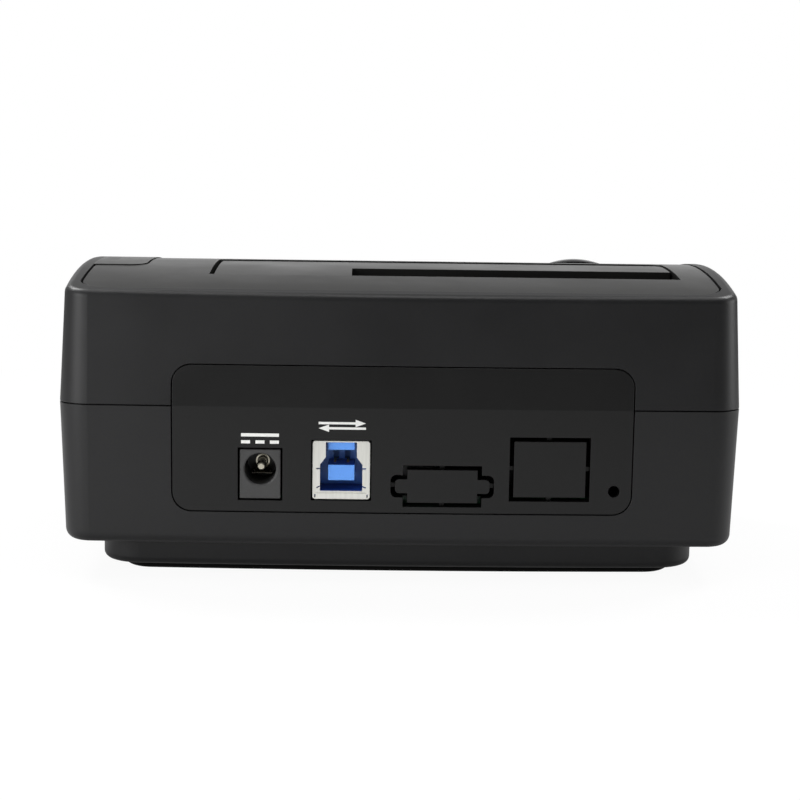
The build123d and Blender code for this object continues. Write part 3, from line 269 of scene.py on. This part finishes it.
# The port's tongues are dyed polyester, bright blue; the deep blue along their sides is painted shade of the
# port's mouth
port_blue = moulded("blue_polyester", "#62A2FA", 0.34, 0.35, 0.003, mottle=0.03, sides=(0.10, 0.18, 0.42))
# Pad-printed ink: thin, chalky white, slightly uneven where the panel's grain shows through
print_ink = moulded("printing_ink", "#e9e9e6", 0.55, 0.3, 0.004, mottle=0.03, edge=0.02)

# Metals
# Their drawing lines too are drawn coarser than the real ones, at 0.15 to 0.5 mm

# The port's shell is nickel-plated sheet: pale, nearly white, with a soft, broad shine
port_plate = metal("nickel_plated_sheet", "#FDFDF6", 0.46, 0.5, 0.0004)
# Zinc plating gives the screws a cool, light grey shine
bright_steel = metal("zinc_plated_steel", "#c4c6c8", 0.3, 0.2, 0.002)
# Drawn spring steel is a darker grey, with fine bright lines
spring_steel = metal("spring_steel", "#a9a9a8", 0.28, 0.15, 0.002)
# Drawn aluminium cans are pale and satin
can_aluminium = metal("drawn_aluminium", "#cfd0d0", 0.33, 0.3, 0.002)
# A gold flash over nickel gives the contacts a warm yellow, clear shine
gold_flash = metal("gold_flash", "#e2bd63", 0.25, 0.2, 0.001)
# Bright nickel on the jack's pin and leaf shines clearly, with a trace of yellow
pin_nickel = metal("bright_nickel", "#cbc6b6", 0.24, 0.3, 0.001)
# Tin solder set from a melt is pale grey, with a softer shine than plating
tin_solder = metal("tin_solder", "#c9c9c6", 0.35, 0.5, 0.004)


def smoked_plastic(name, colour):
    """Clear polycarbonate with a smoke tint: nearly black, smooth, and a little light goes through."""
    waves = 3.0
    wave_depth = 0.01
    made, tree = material(name)
    place = node(tree, "ShaderNodeTexCoord").outputs["Object"]
    flow = node(tree, "ShaderNodeTexNoise", {"Vector": place, "Scale": per_mm(waves), "Detail": 2.0})
    gloss = node(tree, "ShaderNodeMapRange", {"Value": flow.outputs["Fac"], "To Min": 0.28, "To Max": 0.38})
    relief = node(tree, "ShaderNodeBump", {
        "Height": flow.outputs["Fac"], "Distance": wave_depth * MM, "Strength": 1.0,
    })
    surface = node(tree, "ShaderNodeBsdfPrincipled", {
        "Base Color": srgb(colour), "Roughness": gloss.outputs[0], "Normal": relief.outputs[0],
        "Transmission Weight": 0.35, "IOR": 1.58, "Specular IOR Level": 0.05,
    })
    node(tree, "ShaderNodeOutputMaterial", {"Surface": surface.outputs[0]})
    return made


def laminate(name, colour, track):
    """A glass-epoxy board under solder mask: copper tracks show through as a lighter, raised pattern."""
    track_pitch = 3.2
    track_height = 0.03
    cloud_size = 9.0
    made, tree = material(name)
    place = node(tree, "ShaderNodeTexCoord").outputs["Object"]
    cells = node(tree, "ShaderNodeTexVoronoi", {
        "Vector": place, "Scale": per_mm(track_pitch),
    }, distance="MANHATTAN")
    tracks = node(tree, "ShaderNodeMapRange", {
        "Value": cells.outputs["Distance"], "From Min": 0.42, "From Max": 0.46,
    })
    cloud = node(tree, "ShaderNodeTexNoise", {"Vector": place, "Scale": per_mm(cloud_size), "Detail": 3.0})
    base = node(tree, "ShaderNodeMix", {
        "Factor": tracks.outputs[0], "A": srgb(colour), "B": srgb(track),
    }, data_type="RGBA")
    gloss = node(tree, "ShaderNodeMapRange", {"Value": cloud.outputs["Fac"], "To Min": 0.24, "To Max": 0.4})
    relief = node(tree, "ShaderNodeBump", {
        "Height": tracks.outputs[0], "Distance": track_height * MM, "Strength": 1.0,
    })
    surface = node(tree, "ShaderNodeBsdfPrincipled", {
        "Base Color": base.outputs["Result"], "Roughness": gloss.outputs[0], "Normal": relief.outputs[0],
    })
    node(tree, "ShaderNodeOutputMaterial", {"Surface": surface.outputs[0]})
    return made


# The window and the light guide
smoked = smoked_plastic("smoked_polycarbonate", "#0c0d0f")
# The two boards, dark green with lighter tracks
board_mask = laminate("solder_masked_laminate", "#0a3420", "#14492c")

FINISHES = (
    (textured_abs, "upper_shell", "lower_shell"),
    (dull_abs, "rear_panel"),
    (fine_abs, "top_panel", "drive_flap", "control_strip"),
    (well_abs, "drive_well"),
    (button_abs, "power_button"),
    (pad_rubber, "base_pad"),
    (jack_nylon, "power_jack_housing"),
    (connector_nylon, "drive_connector_housing", "power_switch_body"),
    (chip_epoxy, "bridge_chip", "memory_chip", "voltage_regulators"),
    (ferrite, "power_inductors"),
    (pale_nylon, "ribbon_sockets", "power_switch_plunger", "small_parts"),
    (ribbon_vinyl, "ribbon_cable"),
    (lamp_epoxy, "status_lights"),
    (port_blue, "data_port_core"),
    (port_plate, "data_port_shell"),
    (bright_steel, "case_screws", "well_screws", "main_board_screws", "front_board_screws"),
    (spring_steel, "flap_spring", "flap_hinge_pin"),
    (can_aluminium, "bulk_capacitors", "clock_crystal"),
    (gold_flash, "drive_connector_contacts", "data_port_contacts"),
    (pin_nickel, "power_jack_pin", "power_jack_leaf"),
    (smoked, "status_window", "light_guide"),
    (board_mask, "front_board", "main_board"),
)
for finish, *names in FINISHES:
    for name in names:
        nodes[name].data.materials.clear()
        nodes[name].data.materials.append(finish)


# Printed signs over the two sockets

INK_THICKNESS = 0.03 * MM
# The print is cut into steps of about this length, so that it follows the panel's bow
INK_STEP = 0.5 * MM
# Rays that find the panel start this far behind it
RAY_START = 1.0


def printed(name, outlines, x, z):
    """A thin print on the rear panel. Outlines are convex, in millimetres from x and z, seen from behind."""
    shape = bmesh.new()
    for outline in outlines:
        corners = [shape.verts.new((x - a * MM, 0, z + b * MM)) for a, b in outline]
        shape.faces.new(corners)
    longest = max(edge.calc_length() for edge in shape.edges)
    bmesh.ops.subdivide_edges(shape, edges=shape.edges, cuts=int(longest / INK_STEP), use_grid_fill=True)
    raised = bmesh.ops.extrude_face_region(shape, geom=list(shape.faces))
    lifted = {v for v in raised["geom"] if isinstance(v, bmesh.types.BMVert)}
    for vert in shape.verts:
        hit, place, _, _ = nodes["rear_panel"].ray_cast((vert.co.x, RAY_START, vert.co.z), (0, -1, 0))
        if hit:
            vert.co.y = place.y + (INK_THICKNESS if vert in lifted else -INK_THICKNESS)
    bmesh.ops.recalc_face_normals(shape, faces=shape.faces)
    mesh = bpy.data.meshes.new(name)
    shape.to_mesh(mesh)
    shape.free()
    piece = added(name, mesh)
    mesh.materials.append(print_ink)
    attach(piece, "base")


def bar(left, right, low, high):
    """A rectangle's corners."""
    return ((left, low), (right, low), (right, high), (left, high))


# The general sign for direct current: a bar over three dashes, above the jack
JACK_X = 29.73 * MM
JACK_SIGN_Z = 31.35 * MM
printed("direct_current_sign", (
    bar(-4.0, 4.0, 0.4, 1.1),
    bar(-4.0, -2.1, -1.1, -0.4),
    bar(-0.95, 0.95, -1.1, -0.4),
    bar(2.1, 4.0, -1.1, -0.4),
), JACK_X, JACK_SIGN_Z)

# Two opposed arrows for data, above the data port
PORT_X = 12.35 * MM
PORT_SIGN_Z = 34.3 * MM
printed("data_arrows", (
    bar(-5.0, 3.0, 0.3, 0.8),
    ((2.8, -0.25), (5.0, 0.55), (2.8, 1.35)),
    bar(-3.0, 5.0, -0.8, -0.3),
    ((-2.8, 0.25), (-5.0, -0.55), (-2.8, -1.35)),
), PORT_X, PORT_SIGN_Z)


# Rows of like parts, laid out by Geometry Nodes

ROW_INPUTS = (
    ("Piece", "NodeSocketObject"), ("Start", "NodeSocketVector"), ("Step", "NodeSocketVector"),
    ("Count", "NodeSocketInt"), ("Turn", "NodeSocketFloat"), ("Size Spread", "NodeSocketFloat"),
    ("Tilt Spread", "NodeSocketFloat"), ("Seed", "NodeSocketInt"), ("Finish", "NodeSocketMaterial"),
)


def row_tree():
    """The tree for a row: one piece at even steps, each copy a little out of true, all in one finish."""
    tree = bpy.data.node_groups.new("row_of_pieces", "GeometryNodeTree")
    for name, kind in ROW_INPUTS:
        tree.interface.new_socket(name, in_out="INPUT", socket_type=kind)
    tree.interface.new_socket("Geometry", in_out="OUTPUT", socket_type="NodeSocketGeometry")
    given = node(tree, "NodeGroupInput").outputs
    line = node(tree, "GeometryNodeMeshLine", {
        "Count": given["Count"], "Start Location": given["Start"], "Offset": given["Step"],
    }, mode="OFFSET")
    source = node(tree, "GeometryNodeObjectInfo", {"Object": given["Piece"]})
    chance = node(tree, "FunctionNodeRandomValue", {
        "Min": (-1, -1, -1), "Max": (1, 1, 1), "Seed": given["Seed"],
    }, data_type="FLOAT_VECTOR")
    size = node(tree, "ShaderNodeVectorMath", {
        0: chance.outputs[0], 1: given["Size Spread"], 2: (1, 1, 1),
    }, operation="MULTIPLY_ADD")
    facing = node(tree, "ShaderNodeCombineXYZ", {"Z": given["Turn"]})
    turn = node(tree, "ShaderNodeVectorMath", {
        0: chance.outputs[0], 1: given["Tilt Spread"], 2: facing.outputs[0],
    }, operation="MULTIPLY_ADD")
    copies = node(tree, "GeometryNodeInstanceOnPoints", {
        "Points": line.outputs[0], "Instance": source.outputs["Geometry"],
        "Rotation": turn.outputs[0], "Scale": size.outputs[0],
    })
    real = node(tree, "GeometryNodeRealizeInstances", {"Geometry": copies.outputs[0]})
    dressed = node(tree, "GeometryNodeSetMaterial", {
        "Geometry": real.outputs[0], "Material": given["Finish"],
    })
    node(tree, "NodeGroupOutput", {"Geometry": dressed.outputs[0]})
    return tree


ROW_TREE = row_tree()


def row(name, piece, finish, lines, size_spread, tilt_spread):
    """Copies of a piece along lines of (start, step, count, turn), as one mesh that rides on the base.

    The spreads are the most by which a copy's size (a share) and its turn (in radians) depart. The piece
    is used up.
    """
    whole = bmesh.new()
    for seed, (start, step, count, turn) in enumerate(lines):
        carrier = added(name, bpy.data.meshes.new(name))
        maker = carrier.modifiers.new("row", "NODES")
        maker.node_group = ROW_TREE
        given = {
            "Piece": piece, "Start": tuple(start), "Step": tuple(step), "Count": count, "Turn": float(turn),
            "Size Spread": size_spread, "Tilt Spread": tilt_spread, "Seed": seed, "Finish": finish,
        }
        for socket in ROW_TREE.interface.items_tree:
            if socket.in_out == "INPUT":
                maker[socket.identifier] = given[socket.name]
        seen = carrier.evaluated_get(bpy.context.evaluated_depsgraph_get())
        whole.from_mesh(bpy.data.meshes.new_from_object(seen))
        bpy.data.objects.remove(carrier)
    bpy.data.objects.remove(piece)
    mesh = bpy.data.meshes.new(name)
    whole.to_mesh(mesh)
    whole.free()
    mesh.materials.append(finish)
    made = added(name, mesh)
    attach(made, "base")
    return made


SMOOTH_UP_TO = math.radians(40)


def finished_piece(name, shape):
    """The object of a bmesh, with its faces outward and shaded smooth where they meet gently."""
    bmesh.ops.recalc_face_normals(shape, faces=shape.faces)
    for edge in shape.edges:
        edge.smooth = edge.calc_face_angle(0.0) < SMOOTH_UP_TO
    for face in shape.faces:
        face.smooth = True
    mesh = bpy.data.meshes.new(name)
    shape.to_mesh(mesh)
    shape.free()
    return bpy.data.objects.new(name, mesh)


def walled(name, shape, rings):
    """The closed piece whose wall runs from ring to ring of corners."""
    for low, high in zip(rings, rings[1:]):
        for i in range(len(low)):
            shape.faces.new((low[i - 1], low[i], high[i], high[i - 1]))
    shape.faces.new(rings[0])
    shape.faces.new(rings[-1])
    return finished_piece(name, shape)


def strip(name, path, width, thickness):
    """A bent strip of sheet along a path of (y, z), all in millimetres, to be copied in a row."""
    shape = bmesh.new()
    rings = []
    for i, (y, z) in enumerate(path):
        before, after = path[max(i - 1, 0)], path[min(i + 1, len(path) - 1)]
        along = Vector((after[0] - before[0], after[1] - before[1])).normalized()
        corners = (
            Vector((x, y - side * along.y * thickness / 2, z + side * along.x * thickness / 2))
            for x, side in ((-width / 2, -1), (width / 2, -1), (width / 2, 1), (-width / 2, 1))
        )
        rings.append([shape.verts.new(corner * MM) for corner in corners])
    return walled(name, shape, rings)


def turned(name, outline, sides):
    """A round piece turned from an outline of (radius, z), in millimetres, to be copied in a row."""
    shape = bmesh.new()
    angles = [math.tau * k / sides for k in range(sides)]
    rings = [
        [shape.verts.new(Vector((r * math.cos(a), r * math.sin(a), z)) * MM) for a in angles]
        for r, z in outline
    ]
    return walled(name, shape, rings)


# The drive connector's spring contacts bow out of their slot to press on the drive's pads

# Seven contacts for data and fifteen for power, with each group's start along the slot, in millimetres
CONTACT_GROUPS = ((0.4, 7), (13.35, 15))
CONTACT_PITCH = 1.27 * MM
CONTACT_INSET = 0.12 * MM
CONTACT_WIDTH = 0.82
CONTACT_THICKNESS = 0.22

low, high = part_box("drive_connector_contacts")
contact = strip("contact_piece", (
    (0.0, 0.0), (0.0, 1.3), (0.04, 2.4), (0.18, 3.5), (0.34, 4.3), (0.36, 4.8), (0.24, 5.2), (0.08, 5.45),
), CONTACT_WIDTH, CONTACT_THICKNESS)
contacts = row("drive_contact_springs", contact, gold_flash, [
    ((low[0] + start * MM, low[1] + CONTACT_INSET, low[2]), (CONTACT_PITCH, 0, 0), count, 0)
    for start, count in CONTACT_GROUPS
], size_spread=0.004, tilt_spread=0.006)
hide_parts("drive_connector_contacts")


# The control strip runs into the rim beside it without a groove: one strip of plastic closes it

CREST_HEIGHT = 66.1
CREST_Y = 4
ARCH_RADIUS = 219
SEAM_X = 68.55 * MM
SEAM_FRONT = -38
SEAM_REAR = 17
SEAM_WIDTH = 0.64
SEAM_THICKNESS = 0.6


def arch(y):
    """The height of the arched top there, both in millimetres."""
    return CREST_HEIGHT - ARCH_RADIUS + math.sqrt(ARCH_RADIUS ** 2 - (y - CREST_Y) ** 2)


seam = strip("seam_piece", [
    (y, arch(y) - SEAM_THICKNESS / 2) for y in range(SEAM_FRONT, SEAM_REAR + 1)
], SEAM_WIDTH, SEAM_THICKNESS)
flush = row("strip_seam", seam, fine_abs, [
    ((SEAM_X, 0, 0), (0, 0, 0), 1, 0),
], size_spread=0.0, tilt_spread=0.0)


# The data port's contacts end short of the tongues' fronts, under a moulded lip

TIP_SETBACK = 3.2 * MM
MERGE_WITHIN = 0.001 * MM

_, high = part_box("data_port_contacts")
shape = bmesh.new()
shape.from_mesh(nodes["data_port_contacts"].data)
bmesh.ops.remove_doubles(shape, verts=shape.verts, dist=MERGE_WITHIN)
cut = bmesh.ops.bisect_plane(
    shape, geom=[*shape.verts, *shape.edges, *shape.faces],
    plane_co=(0, high[1] - TIP_SETBACK, 0), plane_no=(0, 1, 0), clear_outer=True,
)
rim = [part for part in cut["geom_cut"] if isinstance(part, bmesh.types.BMEdge)]
bmesh.ops.edgeloop_fill(shape, edges=rim)
blades = finished_piece("data_contact_blades", shape)
bpy.context.scene.collection.objects.link(blades)
blades.data.materials.append(gold_flash)
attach(blades, "base")
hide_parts("data_port_contacts")


# Gull-wing leads of the two square-cut chips, tinned

# Each chip with how many of its sides carry leads, and their pitch in millimetres
LEADED_CHIPS = (("bridge_chip", 4, 0.5), ("memory_chip", 2, 1.27))
LEAD_WIDTH = 0.24
LEAD_THICKNESS = 0.14
# The length of a chip's side that stays free of leads, both ends together
BARE_ENDS = 1.0 * MM

lead = strip("lead_piece", (
    (-0.1, 0.62), (0.22, 0.62), (0.36, 0.55), (0.46, 0.2), (0.58, 0.09), (1.0, 0.09),
), LEAD_WIDTH, LEAD_THICKNESS)
lead_lines = []
for chip, sides, pitch in LEADED_CHIPS:
    low, high = (Vector(corner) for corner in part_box(chip))
    middle = (low + high) / 2
    for side in range(sides):
        turn = side * math.tau / sides
        out = Vector((-math.sin(turn), math.cos(turn), 0))
        along = Vector((math.cos(turn), math.sin(turn), 0))
        reach = abs(out.dot(high - middle))
        count = int((2 * abs(along.dot(high - middle)) - BARE_ENDS) / (pitch * MM)) + 1
        start = middle + out * reach - along * pitch * MM * (count - 1) / 2
        start.z = low.z
        lead_lines.append((start, along * pitch * MM, count, turn))
leads = row("chip_leads", lead, tin_solder, lead_lines, size_spread=0.01, tilt_spread=0.004)


# Soldered pin ends under the board, below the drive connector

JOINT_SIDES = 10
JOINTS_IN_ROW = 22
JOINTS_START = 6.0 * MM
# The two rows stand this far, in millimetres, to either side of the connector's middle
JOINT_ROWS = (-1.4, 1.4)

low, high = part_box("drive_connector_housing")
board_low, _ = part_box("main_board")
joint = turned("joint_piece", (
    (0.42, 0.05), (0.40, 0.0), (0.28, -0.16), (0.19, -0.42), (0.16, -0.8), (0.10, -0.92),
), JOINT_SIDES)
joints = row("solder_joints", joint, tin_solder, [
    (
        (low[0] + JOINTS_START, (low[1] + high[1]) / 2 + offset * MM, board_low[2]),
        (CONTACT_PITCH, 0, 0), JOINTS_IN_ROW, 0,
    )
    for offset in JOINT_ROWS
], size_spread=0.12, tilt_spread=0.08)


# Floor: white to the camera but for the dock's shadow; to mirrored rays a table's end, with a painted shadow
# round the dock and painted shade on one side

# The floor turns wholly white from the first of these distances to the second
SHADED_TO = 0.10
WHITE_FROM = 0.34
SHADED_SHARE = 0.94
# In mirrored rays the floor ends as a table does, so the plastic shows a darker band at eye level
TABLE_FULL = 0.15
TABLE_END = 0.75
TABLE_END_LEVEL = 0.12
# Close to the dock the floor's glow in mirrored rays is darkened as a painted shadow, which reaches this far
# beyond its foot
FOOT_HALF = (0.066, 0.041, 0)
PAINTED_SHADOW_REACH = 0.030
PAINTED_SHADOW_LEVEL = 0.30
# In mirrored rays the floor's glow is darkened on the side away from the key lamp: painted shade
DIM_SIDE_X = -0.16
KEY_SIDE_X = 0.10
PAINTED_SIDE_SHADE_LEVEL = 0.72
FLOOR_HALF = 6.0
FLOOR_Z = -0.02 * MM

floor_material, tree = material("pale_floor")
rays = node(tree, "ShaderNodeLightPath")
direct = node(tree, "ShaderNodeMath", {
    0: rays.outputs["Is Camera Ray"], 1: rays.outputs["Is Glossy Ray"],
}, operation="MAXIMUM")
seen = node(tree, "ShaderNodeMath", {
    0: direct.outputs[0], 1: rays.outputs["Is Transmission Ray"],
}, operation="MAXIMUM")
place = node(tree, "ShaderNodeTexCoord").outputs["Object"]
away = node(tree, "ShaderNodeVectorMath", {0: place}, operation="LENGTH")
share = node(tree, "ShaderNodeMapRange", {
    "Value": away.outputs["Value"], "From Min": SHADED_TO, "From Max": WHITE_FROM,
    "To Min": SHADED_SHARE, "To Max": 1.0,
})
glow = node(tree, "ShaderNodeMath", {0: seen.outputs[0], 1: share.outputs[0]}, operation="MULTIPLY")
table = node(tree, "ShaderNodeMapRange", {
    "Value": away.outputs["Value"], "From Min": TABLE_FULL, "From Max": TABLE_END,
    "To Min": 1.0, "To Max": TABLE_END_LEVEL,
}, interpolation_type="SMOOTHSTEP")
spread = node(tree, "ShaderNodeVectorMath", {0: place}, operation="ABSOLUTE")
beyond = node(tree, "ShaderNodeVectorMath", {0: spread.outputs[0], 1: FOOT_HALF}, operation="SUBTRACT")
outside = node(tree, "ShaderNodeVectorMath", {0: beyond.outputs[0], 1: (0, 0, 0)}, operation="MAXIMUM")
off = node(tree, "ShaderNodeVectorMath", {0: outside.outputs[0]}, operation="LENGTH")
# Painted shadow in the glow that mirrored rays see, darkest at the dock's foot
painted_shadow = node(tree, "ShaderNodeMapRange", {
    "Value": off.outputs["Value"], "From Min": 0.0, "From Max": PAINTED_SHADOW_REACH,
    "To Min": PAINTED_SHADOW_LEVEL, "To Max": 1.0,
}, interpolation_type="SMOOTHSTEP")
sideways = node(tree, "ShaderNodeSeparateXYZ", {"Vector": place})
# Painted shade: the glow dims towards -X, away from the key lamp
painted_side_shade = node(tree, "ShaderNodeMapRange", {
    "Value": sideways.outputs["X"], "From Min": DIM_SIDE_X, "From Max": KEY_SIDE_X,
    "To Min": PAINTED_SIDE_SHADE_LEVEL, "To Max": 1.0,
})
dimmed = node(tree, "ShaderNodeMath", {0: table.outputs[0], 1: painted_shadow.outputs[0]}, operation="MULTIPLY")
mirrored = node(tree, "ShaderNodeMath", {0: dimmed.outputs[0], 1: painted_side_shade.outputs[0]}, operation="MULTIPLY")
light = node(tree, "ShaderNodeMix", {
    "Factor": rays.outputs["Is Glossy Ray"], "A": 1.0, "B": mirrored.outputs[0],
}, data_type="FLOAT")
matte = node(tree, "ShaderNodeBsdfDiffuse", {"Color": srgb("#f7f7f7")})
white = node(tree, "ShaderNodeEmission", {"Color": srgb("#ffffff"), "Strength": light.outputs[0]})
blend = node(tree, "ShaderNodeMixShader", {0: glow.outputs[0], 1: matte.outputs[0], 2: white.outputs[0]})
node(tree, "ShaderNodeOutputMaterial", {"Surface": blend.outputs[0]})

floor_mesh = bpy.data.meshes.new("floor")
floor_mesh.from_pydata([
    (-FLOOR_HALF, -FLOOR_HALF, FLOOR_Z), (FLOOR_HALF, -FLOOR_HALF, FLOOR_Z),
    (FLOOR_HALF, FLOOR_HALF, FLOOR_Z), (-FLOOR_HALF, FLOOR_HALF, FLOOR_Z),
], [], [(0, 1, 2, 3)])
floor = added("floor", floor_mesh)
floor_mesh.materials.append(floor_material)


# World: white to the camera, a dim fill for plain light, and a room for mirrored rays

FILL_LEVEL = 0.33
# On the port panel's side the room is dim, and less so towards +X
ROOM_DARK = 0.02
ROOM_BRIGHT = 0.36
# On the front's side it is a white backdrop, dimmer towards the ceiling and towards both sides
CEILING_LEVEL = 0.30
SIDE_SHARE = 0.35

world = bpy.data.worlds.new("studio")
bpy.context.scene.world = world
world.use_nodes = True
tree = world.node_tree
tree.nodes.clear()
rays = node(tree, "ShaderNodeLightPath")
direct = node(tree, "ShaderNodeMath", {
    0: rays.outputs["Is Camera Ray"], 1: rays.outputs["Is Transmission Ray"],
}, operation="MAXIMUM")
# The ranges below are of a ray's unit direction
direction = node(tree, "ShaderNodeTexCoord").outputs["Generated"]
towards = node(tree, "ShaderNodeSeparateXYZ", {"Vector": direction})
behind = node(tree, "ShaderNodeMapRange", {
    "Value": towards.outputs["Y"], "From Min": 0.1, "From Max": 0.7,
}, interpolation_type="SMOOTHSTEP")
across = node(tree, "ShaderNodeMapRange", {
    "Value": towards.outputs["X"], "From Min": -0.4, "From Max": 0.5,
    "To Min": ROOM_DARK, "To Max": ROOM_BRIGHT,
})
above = node(tree, "ShaderNodeMapRange", {
    "Value": towards.outputs["Z"], "From Min": 0.10, "From Max": 0.42,
    "To Min": 1.0, "To Max": CEILING_LEVEL,
}, interpolation_type="SMOOTHSTEP")
aside = node(tree, "ShaderNodeMath", {0: towards.outputs["X"]}, operation="ABSOLUTE")
flank = node(tree, "ShaderNodeMapRange", {
    "Value": aside.outputs[0], "From Min": 0.3, "From Max": 0.8, "To Min": 1.0, "To Max": SIDE_SHARE,
})
backdrop = node(tree, "ShaderNodeMath", {0: above.outputs[0], 1: flank.outputs[0]}, operation="MULTIPLY")
room = node(tree, "ShaderNodeMix", {
    "Factor": behind.outputs[0], "A": backdrop.outputs[0], "B": across.outputs[0],
}, data_type="FLOAT")
lit = node(tree, "ShaderNodeMix", {
    "Factor": rays.outputs["Is Glossy Ray"], "A": FILL_LEVEL, "B": room.outputs[0],
}, data_type="FLOAT")
level = node(tree, "ShaderNodeMix", {
    "Factor": direct.outputs[0], "A": lit.outputs[0], "B": 1.0,
}, data_type="FLOAT")
sky = node(tree, "ShaderNodeBackground", {"Color": srgb("#ffffff"), "Strength": level.outputs[0]})
node(tree, "ShaderNodeOutputWorld", {"Surface": sky.outputs[0]})


# Lamps: a soft one at each side, and three above for the edges' highlights

# Each lamp's name, place, width in metres and power in watts. Left and right are the picture's.
LAMPS = (
    ("lamp_key", (0.27, 0.22, 0.12), 0.20, 0.55),
    ("lamp_kicker", (-0.42, 0.02, 0.12), 0.20, 0.45),
    ("lamp_over_left", (0.50, -0.40, 0.80), 0.30, 6.0),
    ("lamp_over_right", (-0.50, -0.35, 0.80), 0.26, 4.5),
    ("lamp_top", (0.0, 0.14, 0.85), 0.40, 1.5),
)
LAMPS_AIM = Vector((0, 0, 0.03))

for name, place, size, power in LAMPS:
    light = bpy.data.lights.new(name, "AREA")
    light.shape = "SQUARE"
    light.size = size
    light.energy = power
    lamp = added(name, light)
    lamp.location = place
    lamp.rotation_mode = "QUATERNION"
    lamp.rotation_quaternion = (LAMPS_AIM - Vector(place)).to_track_quat("-Z", "Y")
